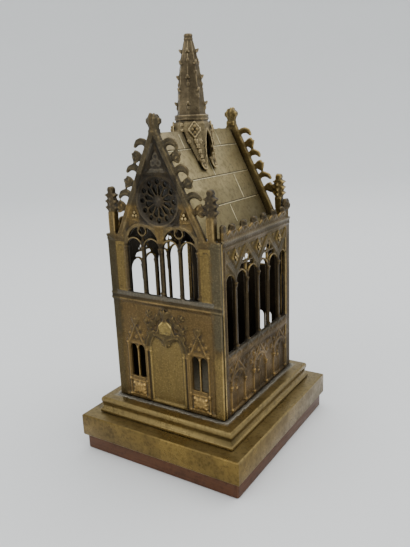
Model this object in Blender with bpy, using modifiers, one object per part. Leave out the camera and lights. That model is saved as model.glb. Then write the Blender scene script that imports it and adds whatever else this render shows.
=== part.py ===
"""Reliquary shaped as a Gothic chapel: cast brass walls, roof and spire on a stepped plinth.

Metres, +Z up. The origin is the middle of the underside and the front gable faces -Y.
A wall is drawn in its own frame: u runs along it, v is the height above its foot, and
depth runs outwards from its inner face. The finished wall is then turned to its side.
"""

import math

import bmesh
import bpy
from mathutils import Matrix

# Fits

FIT_GAP = 0.0003
LAYER_LAP = 0.0007
EDGE_LAP = 0.0002

# Plinth

BOARD_WIDTH = 0.1070
BOARD_DEPTH = 0.1184
BOARD_HEIGHT = 0.0086
BOARD_CORNER = 0.0016

SLAB_WIDTH = 0.1100
SLAB_DEPTH = 0.1214
SLAB_HEIGHT = 0.0138
SLAB_WORN_EDGE = 0.0006

STEP_WIDTH = 0.0937
STEP_DEPTH = 0.1051
STEP_HEIGHT = 0.0098
STEP_FOOT_BEAD = 0.0016
STEP_HOLLOW = 0.0015
STEP_SWELL = 0.0007
STEP_TOP_INSET = 0.0016

# Chapel walls

CHAPEL_WIDTH = 0.0750
CHAPEL_DEPTH = 0.0864
PANEL_THICKNESS = 0.0016
FRAME_THICKNESS = 0.0023
RELIEF_THICKNESS = 0.0022
MOULDING_THICKNESS = 0.0028
EAVE_HEIGHT = 0.1009
FOOT_RAIL = 0.0022
STOREY_STEP = 0.0004

# Lower storey of a gable wall

STRING_HEIGHT = 0.0621
STRING_DEPTH = 0.0050
STRING_TOP = STRING_HEIGHT + STRING_DEPTH
STRING_PROJECTION = 0.0008
LOWER_PANEL_HALF = 0.0320
LOWER_PANEL_CORNER = 0.0022
STRING_BORDER = 0.0007
LOWER_PANEL_TOP = STRING_HEIGHT - STRING_BORDER

LANCET_PAIR_OFFSET = 0.0217
LANCET_SPACING = 0.0056
LANCET_HALF = 0.0022
LANCET_SILL = 0.0144
LANCET_HEAD = 0.0353

DOOR_HALF = 0.0109
DOOR_JAMB = 0.0037
DOOR_SPRING = 0.0355
DOOR_RISE = 0.0070
DOOR_HEAD = DOOR_SPRING + DOOR_RISE
PENDANT_DROP = 0.0050
DOOR_PENDANT = DOOR_HEAD - PENDANT_DROP
OGEE_HALF = 0.0062
OGEE_RISE = 0.0113
OGEE_APEX = DOOR_HEAD + OGEE_RISE
OGEE_BAND = 0.0017

GABLET_HALF = 0.0056
GABLET_CLEAR = 0.0013
GABLET_FOOT = LANCET_HEAD + GABLET_CLEAR
GABLET_RISE = 0.0112
GABLET_APEX = GABLET_FOOT + GABLET_RISE
GABLET_BAND = 0.0019
LEAF_RADIUS = 0.0017

# Upper windows of a gable wall, between the string course and the eave

WINDOW_CLEAR = 0.0003
WINDOW_SILL = STRING_TOP + WINDOW_CLEAR
WINDOW_OFFSET = 0.0123
WINDOW_HALF = 0.0115
WINDOW_OVER_EAVE = 0.0060
WINDOW_HEAD = EAVE_HEIGHT + WINDOW_OVER_EAVE
SUBLIGHT_HALF = 0.0050
SUBLIGHT_DROP = 0.0075
SUBLIGHT_HEAD = WINDOW_HEAD - SUBLIGHT_DROP
MULLION = 0.0021
TRACERY_BAR = 0.0011
OCULUS_DROP = 0.0029
OCULUS_HEIGHT = WINDOW_HEAD - OCULUS_DROP
OCULUS_RADIUS = 0.0022
OCULUS_RING = 0.0010
ARCH_BAND = 0.0016

STRIP_INNER = 0.0258
STRIP_OUTER = 0.0313
STRIP_BORDER = 0.0015
STRIP_FOOT = STRING_TOP + STRIP_BORDER
LEDGE_DEPTH = 0.0037
LEDGE_FOOT = EAVE_HEIGHT - LEDGE_DEPTH
LEDGE_INNER = 0.0252
STRIP_HEAD = LEDGE_FOOT - STRIP_BORDER

# Rose and gable, above the eave

ROSE_OVER_EAVE = 0.0198
ROSE_HEIGHT = EAVE_HEIGHT + ROSE_OVER_EAVE
ROSE_RADIUS = 0.0126
ROSE_SPOKES = 12
ROSE_BAR = 0.0010
ROSE_HUB_SHARE = 0.167
ROSE_PETAL_SHARE = 0.714
ROSE_ROUNDEL_SHARE = 0.825
ROSE_ROUNDEL_SIZE = 0.119

GABLE_FOOT_HALF = 0.0295
GABLE_SLOPE = 2.06
NECK_OVER_EAVE = 0.0555
GABLE_NECK = EAVE_HEIGHT + NECK_OVER_EAVE
RAKE_BAND = 0.0033
FIELD_OVER_ROSE = 0.0029
GABLE_FIELD_FOOT = ROSE_HEIGHT + ROSE_RADIUS + FIELD_OVER_ROSE
SPANDREL_UNDER_ROSE = 0.0037
SPANDREL_TOP = ROSE_HEIGHT - SPANDREL_UNDER_ROSE
SPANDREL_TIP = 0.0010

CROCKET_PAIRS = 6
CROCKET_OVER_EAVE = 0.0151
CROCKET_FIRST = EAVE_HEIGHT + CROCKET_OVER_EAVE
CROCKET_UNDER_NECK = 0.0064
CROCKET_LAST = GABLE_NECK - CROCKET_UNDER_NECK
CROCKET_REACH = 0.0082
CROCKET_STEM = 0.0017
CROCKET_DEPTH = 0.0015
HOOK_HALF = CROCKET_REACH * 0.58
HOOK_RISE = 0.0039
HOOK_LEAF = 0.0025
FAN_SHAPE = (
    (0.00, -0.10), (0.45, -0.06), (1.00, -0.14), (0.98, 0.14), (1.10, 0.32),
    (0.88, 0.36), (0.80, 0.54), (0.50, 0.44), (0.20, 0.16),
)
FINIAL_HEIGHT = 0.0090
FINIAL_HALF = 0.0044
FINIAL_DEPTH = 0.0042

PINNACLE_OFFSET = 0.0327
PINNACLE_HALF = 0.0021
PINNACLE_SHAFT = 0.0126
PINNACLE_SHAFT_TOP = EAVE_HEIGHT + PINNACLE_SHAFT
PINNACLE_SPIRELET = 0.0143
PINNACLE_TOP = PINNACLE_SHAFT_TOP + PINNACLE_SPIRELET
PINNACLE_TOOTH = 0.0043
PINNACLE_ROWS = 3
PINNACLE_DEPTH = 0.0036

# The back gable stands between the side walls and a little higher

BACK_INSET = 0.0032
BACK_LIFT = 0.0024

# Side walls

BAY = 0.0270
BAY_COUNT = 3
CORNICE_DEPTH = 0.0043
CORNICE_FOOT = EAVE_HEIGHT - CORNICE_DEPTH
CORNICE_PROJECTION = 0.0006
SPANDREL_BORDER = 0.0011
SPANDREL_HEAD = CORNICE_FOOT - SPANDREL_BORDER
LOZENGE_DROP = 0.0051
LOZENGE_HEIGHT = SPANDREL_HEAD - LOZENGE_DROP
LOZENGE_HALF_WIDTH = 0.0034
LOZENGE_HALF_HEIGHT = 0.0044
VEE_DROP = 0.0031
VEE_APEX = SPANDREL_HEAD - VEE_DROP
VEE_RISE = 0.0119
VEE_FOOT = VEE_APEX - VEE_RISE
VEE_BAND = 0.0011
SIDE_BAR_DROP = 0.0078
SIDE_BAR_HEIGHT = VEE_APEX - SIDE_BAR_DROP
SIDE_BAR = 0.0013
SIDE_FIELD_HALF = 0.0378
SIDE_LIGHT_HALF = 0.0056
SIDE_LIGHT_DROP = 0.0034
SIDE_LIGHT_HEAD = SIDE_BAR_HEIGHT - SIDE_LIGHT_DROP

SIDE_PANEL_TOP = 0.0312
SILL_RISE = 0.0062
SIDE_SILL = SIDE_PANEL_TOP + SILL_RISE
SILL_PROJECTION = 0.0004
BLIND_ARCH_HALF = 0.0086
BLIND_ARCH_BAND = 0.0012
BLIND_ARCH_DROP = 0.0140
BLIND_ARCH_SPRING = SIDE_PANEL_TOP - BLIND_ARCH_DROP
BLIND_GABLE_OVER_PANEL = 0.0006
BLIND_GABLE_APEX = SIDE_PANEL_TOP + BLIND_GABLE_OVER_PANEL

CREST_COUNT = 6
CREST_PITCH = 0.0124
CREST_HEIGHT = 0.0080
CREST_HALF = 0.0046
CREST_BAND = 0.0026
CREST_THICKNESS = 0.0014
CREST_SHAPE = ((-1.00, 0.0), (-1.02, 0.50), (-0.34, 0.38), (-0.54, 0.81), (-0.36, 0.98), (0.0, 1.0))
CREST_BLOCK = 0.0042
CREST_BLOCK_HEIGHT = 0.0086
REAR_LEAF_HALF = 0.0038
REAR_LEAF_HEIGHT = 0.0118
REAR_LEAF_SHAPE = ((-0.60, 0.0), (-0.50, 0.36), (-1.00, 0.52), (-0.95, 0.80), (-0.50, 1.0))

# Roof

RIDGE_OVER_EAVE = 0.0553
RIDGE_HEIGHT = EAVE_HEIGHT + RIDGE_OVER_EAVE
ROOF_SLOPE = 2.08
ROOF_SHEET = 0.0010

# Spire, above the ridge

SPIRE_CENTRE = -0.0064
CONE_SIDES = 8
DRUM_SIDES = 12
DRUM_RADIUS = 0.0100
DRUM_FLARE = 0.0030
DRUM_OVER_RIDGE = 0.0056
DRUM_TOP = RIDGE_HEIGHT + DRUM_OVER_RIDGE
DRUM_WALL = 0.0013
SPIRE_RISE = 0.0453
SPIRE_TOP = DRUM_TOP + SPIRE_RISE
SPIRE_RING_RADIUS = 0.0093
SPIRE_RING_HEIGHT = 0.0024
CONE_FOOT_RADIUS = 0.0081
CONE_MIDDLE_RADIUS = 0.0061
CONE_UPPER_RADIUS = 0.0043
CONE_TIP_RADIUS = 0.0022
CAP_RADIUS = 0.0027
CAP_HEIGHT = 0.0027
KNOB_RADIUS = 0.0014
KNOB_ROWS = 5
DORMER_HALF = 0.0038
DORMER_UNDER_DRUM = 0.0054
DORMER_APEX = DRUM_TOP - DORMER_UNDER_DRUM
BADGE_HALF = 0.0036

# Steps in an arch or a circle

ARCH_STEPS = 6
BLIND_ARCH_STEPS = 5
WINDOW_STEPS = 8
CIRCLE_STEPS = 18
SMALL_CIRCLE_STEPS = 6

# Levels that follow from the stack

SLAB_FOOT = BOARD_HEIGHT + FIT_GAP
STEP_FOOT = SLAB_FOOT + SLAB_HEIGHT + FIT_GAP
WALL_FOOT = STEP_FOOT + STEP_HEIGHT + FIT_GAP


def reset_scene():
    """Remove what the scene holds and return the collections for parts and for working shapes."""
    for item in list(bpy.data.objects):
        bpy.data.objects.remove(item, do_unlink=True)
    parts = bpy.data.collections.new("reliquary")
    working = bpy.data.collections.new("working_shapes")
    bpy.context.scene.collection.children.link(parts)
    bpy.context.scene.collection.children.link(working)
    return parts, working


PARTS, WORKING = reset_scene()


def brass(name, colour, roughness):
    """Principled material with a metal's reflection."""
    material = bpy.data.materials.new(name)
    material.use_nodes = True
    shader = material.node_tree.nodes["Principled BSDF"]
    shader.inputs["Base Color"].default_value = (*colour, 1.0)
    shader.inputs["Roughness"].default_value = roughness
    shader.inputs["Metallic"].default_value = 1.0
    return material


def wood(name, colour, roughness):
    """Principled material of polished wood."""
    material = brass(name, colour, roughness)
    material.node_tree.nodes["Principled BSDF"].inputs["Metallic"].default_value = 0.0
    return material


def mirrored(points):
    """Append the mirror image about u = 0 to a half outline that runs from left to right."""
    return points + [(-u, v) for u, v in reversed(points) if abs(u) > 1e-9]


def shifted(points, u_shift, v_shift=0.0):
    """Move an outline in its plane."""
    return [(u + u_shift, v + v_shift) for u, v in points]


def arc(centre, radius, start, end, steps):
    """Points of an arc from one angle to another, in degrees, both ends included."""
    points = []
    for step in range(steps + 1):
        angle = math.radians(start + (end - start) * step / steps)
        points.append((centre[0] + radius * math.cos(angle), centre[1] + radius * math.sin(angle)))
    return points


def circle(centre, radius, steps):
    """Closed outline of a circle."""
    return arc(centre, radius, 0.0, 360.0, steps)[:-1]


def arched(centre_u, half, foot, head, steps=ARCH_STEPS):
    """Outline of a round-headed light from its foot to the top of its head."""
    spring = head - half
    feet = [(centre_u - half, foot), (centre_u + half, foot)]
    return feet + arc((centre_u, spring), half, 0.0, 180.0, steps)


def rectangle(low_u, high_u, low_v, high_v):
    """Outline of a rectangle."""
    return [(low_u, low_v), (high_u, low_v), (high_u, high_v), (low_u, high_v)]


def circle_crossing(centre_a, radius_a, centre_b, radius_b, want_left):
    """One of the two points where two circles cross, the left or the right one."""
    gap_u = centre_b[0] - centre_a[0]
    gap_v = centre_b[1] - centre_a[1]
    distance = math.hypot(gap_u, gap_v)
    along = (radius_a ** 2 - radius_b ** 2 + distance ** 2) / (2 * distance)
    across = math.sqrt(max(radius_a ** 2 - along ** 2, 0.0))
    middle = (centre_a[0] + along * gap_u / distance, centre_a[1] + along * gap_v / distance)
    first = (middle[0] + across * gap_v / distance, middle[1] - across * gap_u / distance)
    second = (middle[0] - across * gap_v / distance, middle[1] + across * gap_u / distance)
    left, right = sorted((first, second))
    return left if want_left else right


def angle_of(centre, point):
    """Angle in degrees of a point seen from a centre."""
    return math.degrees(math.atan2(point[1] - centre[1], point[0] - centre[0]))


def working_object(name, mesh):
    """Put a mesh in the working collection, hidden from the model."""
    item = bpy.data.objects.new(name, mesh)
    WORKING.objects.link(item)
    item.hide_render = True
    item.display_type = "WIRE"
    return item


def settled(item):
    """Return the evaluated, welded mesh of a working object in world space, and remove the object."""
    bpy.context.view_layer.update()
    graph = bpy.context.evaluated_depsgraph_get()
    mesh = bpy.data.meshes.new_from_object(item.evaluated_get(graph))
    mesh.transform(item.matrix_world)
    bpy.data.objects.remove(item, do_unlink=True)
    shape = bmesh.new()
    shape.from_mesh(mesh)
    bmesh.ops.remove_doubles(shape, verts=shape.verts, dist=1e-6)
    bmesh.ops.recalc_face_normals(shape, faces=shape.faces)
    shape.to_mesh(mesh)
    shape.free()
    return mesh


def flat_curve(name, loops, extrude):
    """Working object of a filled flat curve whose inner loops are holes."""
    curve = bpy.data.curves.new(name, "CURVE")
    curve.dimensions = "2D"
    curve.fill_mode = "BOTH"
    curve.extrude = extrude
    for loop in loops:
        spline = curve.splines.new("POLY")
        spline.points.add(len(loop) - 1)
        for point, (u, v) in zip(spline.points, loop):
            point.co = (u, v, 0.0, 1.0)
        spline.use_cyclic_u = True
    return working_object(name, curve)


def plate(loops, near, far):
    """Solid of an outline with holes, standing in the wall's plane between two depths."""
    item = flat_curve("plate", loops, (far - near) / 2)
    item.rotation_euler = (math.pi / 2, 0.0, 0.0)
    item.location = (0.0, -(near + far) / 2, 0.0)
    return settled(item)


def moulding(profile, low_u, high_u):
    """Solid of a depth and height profile drawn along the wall."""
    item = flat_curve("moulding", [profile], (high_u - low_u) / 2)
    item.rotation_euler = (math.pi / 2, 0.0, -math.pi / 2)
    item.location = ((low_u + high_u) / 2, 0.0, 0.0)
    return settled(item)


def fused(shapes):
    """Join overlapping solids into one body."""
    base = working_object("base", shapes[0])
    group = bpy.data.collections.new("joined_shapes")
    WORKING.children.link(group)
    others = []
    for shape in shapes[1:]:
        item = bpy.data.objects.new("joined", shape)
        group.objects.link(item)
        others.append(item)
    join = base.modifiers.new("join", "BOOLEAN")
    join.operation = "UNION"
    join.solver = "EXACT"
    join.operand_type = "COLLECTION"
    join.collection = group
    mesh = settled(base)
    for item in others:
        bpy.data.objects.remove(item, do_unlink=True)
    bpy.data.collections.remove(group)
    return mesh


def carved(shape, cutters):
    """Cut solids out of another solid."""
    mesh = shape
    for cutter in cutters:
        base = working_object("base", mesh)
        tool = working_object("cutter", cutter)
        cut = base.modifiers.new("cut", "BOOLEAN")
        cut.operation = "DIFFERENCE"
        cut.solver = "EXACT"
        cut.object = tool
        mesh = settled(base)
        bpy.data.objects.remove(tool, do_unlink=True)
    return mesh


def add_part(name, mesh, material, location=(0.0, 0.0, 0.0), turn=0.0):
    """Place a finished mesh as a named part."""
    mesh.name = name
    mesh.materials.clear()
    mesh.materials.append(material)
    item = bpy.data.objects.new(name, mesh)
    PARTS.objects.link(item)
    item.location = location
    item.rotation_euler = (0.0, 0.0, turn)
    return item


def moulded_block(width, depth, rows):
    """Block whose sides follow rows of inset and height, extruded upwards from a thin box."""
    first_inset, first_height = rows[0]
    first_size = (width - 2 * first_inset, depth - 2 * first_inset, first_height)
    shape = bmesh.new()
    bmesh.ops.create_cube(shape, size=1.0)
    bmesh.ops.scale(shape, vec=first_size, verts=shape.verts)
    bmesh.ops.translate(shape, vec=(0.0, 0.0, first_height / 2), verts=shape.verts)
    last_inset = first_inset
    last_height = first_height
    for inset, height in rows[1:]:
        shape.faces.ensure_lookup_table()
        top = max(shape.faces, key=lambda face: face.calc_center_median().z)
        grown = bmesh.ops.extrude_face_region(shape, geom=[top])["geom"]
        corners = [item for item in grown if isinstance(item, bmesh.types.BMVert)]
        shape.faces.remove(top)
        across = (width - 2 * inset) / (width - 2 * last_inset)
        along = (depth - 2 * inset) / (depth - 2 * last_inset)
        bmesh.ops.scale(shape, vec=(across, along, 1.0), verts=corners)
        bmesh.ops.translate(shape, vec=(0.0, 0.0, height - last_height), verts=corners)
        last_inset = inset
        last_height = height
    mesh = bpy.data.meshes.new("block")
    shape.to_mesh(mesh)
    shape.free()
    return mesh


# Plinth


def build_base_board(material):
    """Wooden board with rounded upright corners."""
    shape = bmesh.new()
    bmesh.ops.create_cube(shape, size=1.0)
    bmesh.ops.scale(shape, vec=(BOARD_WIDTH, BOARD_DEPTH, BOARD_HEIGHT), verts=shape.verts)
    bmesh.ops.translate(shape, vec=(0.0, 0.0, BOARD_HEIGHT / 2), verts=shape.verts)
    upright = []
    for edge in shape.edges:
        if abs(edge.verts[0].co.z - edge.verts[1].co.z) > BOARD_HEIGHT / 2:
            upright.append(edge)
    bmesh.ops.bevel(shape, geom=upright, offset=BOARD_CORNER, segments=3, profile=0.5, affect="EDGES")
    mesh = bpy.data.meshes.new("board")
    shape.to_mesh(mesh)
    shape.free()
    add_part("base_board", mesh, material)


def build_plinth_slab(material):
    """Lower brass slab with a worn upper edge."""
    rows = [
        (SLAB_WORN_EDGE / 2, SLAB_WORN_EDGE / 2),
        (0.0, SLAB_WORN_EDGE),
        (0.0, SLAB_HEIGHT - SLAB_WORN_EDGE),
        (SLAB_WORN_EDGE, SLAB_HEIGHT),
    ]
    add_part("plinth_slab", moulded_block(SLAB_WIDTH, SLAB_DEPTH, rows), material, (0.0, 0.0, SLAB_FOOT))


def build_plinth_step(material):
    """Upper brass step: foot bead, hollow, swelling and a rounded top edge."""
    rows = [
        (0.0, STEP_FOOT_BEAD),
        (STEP_HOLLOW * 0.6, STEP_FOOT_BEAD + STEP_HEIGHT * 0.08),
        (STEP_HOLLOW, STEP_HEIGHT * 0.42),
        (STEP_HOLLOW * 0.8, STEP_HEIGHT * 0.60),
        (STEP_SWELL, STEP_HEIGHT * 0.70),
        (STEP_SWELL, STEP_HEIGHT * 0.84),
        (STEP_SWELL + (STEP_TOP_INSET - STEP_SWELL) * 0.35, STEP_HEIGHT * 0.94),
        (STEP_TOP_INSET, STEP_HEIGHT),
    ]
    add_part("plinth_step", moulded_block(STEP_WIDTH, STEP_DEPTH, rows), material, (0.0, 0.0, STEP_FOOT))


# Gable walls


def rake_half(height):
    """Half width of the gable's outer edge at a height above the wall's foot."""
    return GABLE_FOOT_HALF - (height - EAVE_HEIGHT) / GABLE_SLOPE


def rake_height(half):
    """Height at which the gable's outer edge has a half width."""
    return EAVE_HEIGHT + (GABLE_FOOT_HALF - half) * GABLE_SLOPE


def gable_silhouette(half_width, storey_step, inset, foot):
    """Outline of a whole gable wall above its foot, drawn in from its edges by an inset."""
    lower = half_width - storey_step - inset
    upper = half_width - inset
    left = [
        (-lower, foot + inset),
        (-lower, STRING_HEIGHT),
        (-upper, STRING_HEIGHT),
        (-upper, EAVE_HEIGHT - inset),
        (-(GABLE_FOOT_HALF - inset), EAVE_HEIGHT - inset),
        (-(rake_half(GABLE_NECK) - inset), GABLE_NECK),
    ]
    return mirrored(left)


def tracery_gap(side):
    """Opening beside the oculus: between the window's arch, the sub-light's arch and the oculus ring."""
    window = (WINDOW_OFFSET, WINDOW_HEAD - WINDOW_HALF)
    light = (WINDOW_OFFSET + side * (SUBLIGHT_HALF + MULLION / 2), SUBLIGHT_HEAD - SUBLIGHT_HALF)
    oculus = (WINDOW_OFFSET, OCULUS_HEIGHT)
    window_radius = WINDOW_HALF - TRACERY_BAR / 2
    light_radius = SUBLIGHT_HALF + TRACERY_BAR
    ring_radius = OCULUS_RADIUS + OCULUS_RING
    on_left = side < 0
    outer = circle_crossing(window, window_radius, light, light_radius, on_left)
    upper = circle_crossing(window, window_radius, oculus, ring_radius, on_left)
    stem_u = WINDOW_OFFSET + side * TRACERY_BAR * 0.7
    stem_foot = (stem_u, light[1] + math.sqrt(light_radius ** 2 - (stem_u - light[0]) ** 2))
    stem_head = (stem_u, oculus[1] - math.sqrt(ring_radius ** 2 - (stem_u - oculus[0]) ** 2))
    along_light = arc(light, light_radius, angle_of(light, outer), angle_of(light, stem_foot), 4)
    start = angle_of(oculus, stem_head)
    end = angle_of(oculus, upper)
    if on_left:
        end -= 360.0 if end > start else 0.0
    else:
        end += 360.0 if end < start else 0.0
    along_ring = arc(oculus, ring_radius, start, end, 4)
    along_window = arc(window, window_radius, angle_of(window, upper), angle_of(window, outer), 5)[1:-1]
    return along_light + along_ring + along_window


def window_loops():
    """Openings of one traceried window, right of the middle: two lights, an oculus and its side gaps."""
    spacing = SUBLIGHT_HALF + MULLION / 2
    return [
        arched(WINDOW_OFFSET - spacing, SUBLIGHT_HALF, WINDOW_SILL, SUBLIGHT_HEAD),
        arched(WINDOW_OFFSET + spacing, SUBLIGHT_HALF, WINDOW_SILL, SUBLIGHT_HEAD),
        circle((WINDOW_OFFSET, OCULUS_HEIGHT), OCULUS_RADIUS, SMALL_CIRCLE_STEPS),
        tracery_gap(-1),
        tracery_gap(1),
    ]


def rose_loops(with_roundels):
    """Openings of the rose: petals between the spokes and perhaps a roundel at the end of each spoke."""
    centre = (0.0, ROSE_HEIGHT)
    sector = 360.0 / ROSE_SPOKES
    half_sector = math.radians(sector / 2)
    hub = ROSE_RADIUS * ROSE_HUB_SHARE
    reach = ROSE_RADIUS * ROSE_PETAL_SHARE
    waist = reach - ROSE_BAR * 1.2
    shoulder = math.degrees(half_sector - math.asin(ROSE_BAR / 2 / waist))
    loops = []
    for spoke in range(ROSE_SPOKES):
        middle = 90.0 + sector * (spoke + 0.5)
        petal = [
            arc(centre, hub, middle, middle, 1)[0],
            arc(centre, waist, middle - shoulder, middle, 1)[0],
            arc(centre, reach, middle, middle, 1)[0],
            arc(centre, waist, middle + shoulder, middle, 1)[0],
        ]
        loops.append(petal)
        if with_roundels:
            place = arc(centre, ROSE_RADIUS * ROSE_ROUNDEL_SHARE, 90.0 + sector * spoke, 90.0, 1)[0]
            loops.append(circle(place, ROSE_RADIUS * ROSE_ROUNDEL_SIZE, 5))
    return loops


def both_sides(loops):
    """Loops with their mirror images on the other side of the wall's middle."""
    return loops + [[(-u, v) for u, v in reversed(loop)] for loop in loops]


def lancet_loops():
    """Pair of narrow lights right of the door."""
    loops = []
    for side in (-0.5, 0.5):
        centre_u = LANCET_PAIR_OFFSET + side * LANCET_SPACING
        loops.append(arched(centre_u, LANCET_HALF, LANCET_SILL, LANCET_HEAD, 4))
    return loops


def spandrel_loop():
    """Sunken field between the rose, the rake and the window's arch, right of the middle."""
    rose = (0.0, ROSE_HEIGHT)
    window = (WINDOW_OFFSET, WINDOW_HEAD - WINDOW_HALF)
    ring = ROSE_RADIUS + ARCH_BAND
    arch = WINDOW_HALF + ARCH_BAND
    tip_gap = SPANDREL_TIP / 2
    tip = circle_crossing(rose, ring + tip_gap, window, arch + tip_gap, False)
    top_angle = math.degrees(math.asin((SPANDREL_TOP - ROSE_HEIGHT) / ring))
    inner_half = rake_half(SPANDREL_TOP) - RAKE_BAND - ARCH_BAND / 2
    arch_start = 36.0
    arch_point = arc(window, arch, arch_start, arch_start, 1)[0]
    rake_point = (rake_half(arch_point[1]) - RAKE_BAND - ARCH_BAND / 2, arch_point[1])
    return (
        arc(rose, ring, angle_of(rose, tip), top_angle, 4)
        + [(inner_half, SPANDREL_TOP), rake_point]
        + arc(window, arch, arch_start, angle_of(window, tip), 5)
    )


def rounded_panel(half, foot, head, corner):
    """Panel outline with rounded upper corners."""
    right = [(half, foot)] + arc((half - corner, head - corner), corner, 0.0, 90.0, 3)
    return right + [(-u, v) for u, v in reversed(right)]


def frame_loops(half_width, foot):
    """Frame of a gable wall above its foot and the sunken fields in it."""
    strip_middle = (STRIP_INNER + STRIP_OUTER) / 2
    strip_half = (STRIP_OUTER - STRIP_INNER) / 2
    strip = arched(strip_middle, strip_half, STRIP_FOOT, STRIP_HEAD, 3)
    window = arched(WINDOW_OFFSET, WINDOW_HALF, WINDOW_SILL, WINDOW_HEAD, WINDOW_STEPS)
    field_half = rake_half(GABLE_FIELD_FOOT) - RAKE_BAND - ARCH_BAND / 2
    field_apex = rake_height(RAKE_BAND + ARCH_BAND / 2)
    gable_field = [(-field_half, GABLE_FIELD_FOOT), (field_half, GABLE_FIELD_FOOT), (0.0, field_apex)]
    lower = rounded_panel(LOWER_PANEL_HALF, FOOT_RAIL, LOWER_PANEL_TOP, LOWER_PANEL_CORNER)
    return [
        gable_silhouette(half_width, STOREY_STEP, 0.0, foot),
        lower,
        circle((0.0, ROSE_HEIGHT), ROSE_RADIUS, CIRCLE_STEPS),
        gable_field,
    ] + both_sides([strip, window, spandrel_loop()])


def hook_outline(side, foot):
    """Broad leaf: out from the rake, over and a little down to its tip."""
    middle = rake_half(foot) + CROCKET_REACH - HOOK_HALF
    inner_half = HOOK_HALF - HOOK_LEAF
    outer_squash = HOOK_RISE / HOOK_HALF
    inner_squash = (HOOK_RISE - HOOK_LEAF) / inner_half
    over = [(u, v * outer_squash) for u, v in arc((0.0, 0.0), HOOK_HALF, 165.0, 5.0, 4)]
    under = [(u, v * inner_squash) for u, v in arc((0.0, 0.0), inner_half, 10.0, 150.0, 3)]
    root = [(-HOOK_HALF, -CROCKET_STEM)]
    return [(side * (middle + u), foot + v) for u, v in over + under + root]


def fan_outline(side, foot):
    """Fan leaf: a short stalk that opens into three lobes."""
    base_u = rake_half(foot) - CROCKET_STEM
    return [(side * (base_u + u * CROCKET_REACH), foot + v * CROCKET_REACH) for u, v in FAN_SHAPE]


def crocket_plates():
    """Hooks and fan leaves in turn, up both sides of the gable."""
    near = FRAME_THICKNESS / 2 - CROCKET_DEPTH / 2
    spacing = (CROCKET_LAST - CROCKET_FIRST) / (CROCKET_PAIRS - 1)
    shapes = []
    for row in range(CROCKET_PAIRS):
        foot = CROCKET_FIRST + spacing * row
        for side in (-1, 1):
            outline = fan_outline(side, foot) if row % 2 == 0 else hook_outline(side, foot)
            shapes.append(plate([outline], near, near + CROCKET_DEPTH))
    return shapes


def finial_plates():
    """Neck ring and three-lobed bud on the gable's point."""
    middle = FRAME_THICKNESS / 2
    neck_half = rake_half(GABLE_NECK) + EDGE_LAP
    neck_height = FINIAL_HEIGHT * 0.14
    neck = rectangle(-neck_half, neck_half, GABLE_NECK - neck_height, GABLE_NECK + neck_height)
    half = [
        (-0.42, 0.06), (-0.60, 0.36), (-1.00, 0.52), (-0.96, 0.78),
        (-0.60, 0.76), (-0.40, 0.94), (0.0, 1.0),
    ]
    bud = mirrored([(u * FINIAL_HALF, GABLE_NECK + v * FINIAL_HEIGHT) for u, v in half])
    return [
        plate([neck], middle - FINIAL_DEPTH / 2, middle + FINIAL_DEPTH / 2),
        plate([bud], middle - FINIAL_DEPTH * 0.36, middle + FINIAL_DEPTH * 0.36),
    ]


def pinnacle_outline():
    """Square shaft, toothed spirelet and bud of a corner pinnacle."""
    core_top = PINNACLE_SHAFT_TOP + (PINNACLE_TOP - PINNACLE_SHAFT_TOP) * 0.72
    half = [(-PINNACLE_HALF, EAVE_HEIGHT - FRAME_THICKNESS), (-PINNACLE_HALF, PINNACLE_SHAFT_TOP)]
    pitch = (core_top - PINNACLE_SHAFT_TOP) / PINNACLE_ROWS
    for row in range(PINNACLE_ROWS):
        foot = PINNACLE_SHAFT_TOP + pitch * row
        core = PINNACLE_HALF * (1.0 - 0.14 * row)
        half.append((-core, foot + pitch * 0.20))
        half.append((-PINNACLE_TOOTH, foot + pitch * 0.80))
    bud_height = PINNACLE_TOP - core_top
    half += [
        (-PINNACLE_HALF * 0.5, core_top + bud_height * 0.15),
        (-PINNACLE_HALF, core_top + bud_height * 0.50),
        (-PINNACLE_HALF * 0.6, core_top + bud_height * 0.92),
        (0.0, PINNACLE_TOP),
    ]
    return mirrored(half)


def pinnacle_plates(drop):
    """The two corner pinnacles of a gable wall, lowered by a drop."""
    middle = FRAME_THICKNESS / 2
    near = middle - PINNACLE_DEPTH / 2
    shapes = []
    for side in (-1, 1):
        outline = shifted(pinnacle_outline(), side * PINNACLE_OFFSET, -drop)
        shapes.append(plate([outline], near, near + PINNACLE_DEPTH))
    return shapes


def string_course(half_width):
    """Roll, hollow and sloping sill between the storeys."""
    low = PANEL_THICKNESS - LAYER_LAP
    face = FRAME_THICKNESS
    height = STRING_TOP - STRING_HEIGHT
    profile = [
        (low, STRING_HEIGHT),
        (face + STRING_PROJECTION * 0.6, STRING_HEIGHT + height * 0.06),
        (face + STRING_PROJECTION, STRING_HEIGHT + height * 0.24),
        (face + STRING_PROJECTION * 0.2, STRING_HEIGHT + height * 0.36),
        (face + STRING_PROJECTION * 0.2, STRING_HEIGHT + height * 0.66),
        (face + STRING_PROJECTION, STRING_HEIGHT + height * 0.80),
        (low, STRING_TOP),
    ]
    return moulding(profile, -half_width, half_width)


def ledge(side):
    """Moulded ledge at the eave, over the corner post and the strip."""
    low = PANEL_THICKNESS - LAYER_LAP
    face = FRAME_THICKNESS
    height = EAVE_HEIGHT - LEDGE_FOOT
    profile = [
        (low, LEDGE_FOOT),
        (face + STRING_PROJECTION * 0.5, LEDGE_FOOT + height * 0.20),
        (face + STRING_PROJECTION * 0.3, LEDGE_FOOT + height * 0.50),
        (face + STRING_PROJECTION, LEDGE_FOOT + height * 0.78),
        (face + STRING_PROJECTION, EAVE_HEIGHT + EDGE_LAP),
        (low, EAVE_HEIGHT + EDGE_LAP),
    ]
    ends = sorted((side * LEDGE_INNER, side * (CHAPEL_WIDTH / 2 + EDGE_LAP)))
    return moulding(profile, ends[0], ends[1])


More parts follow.
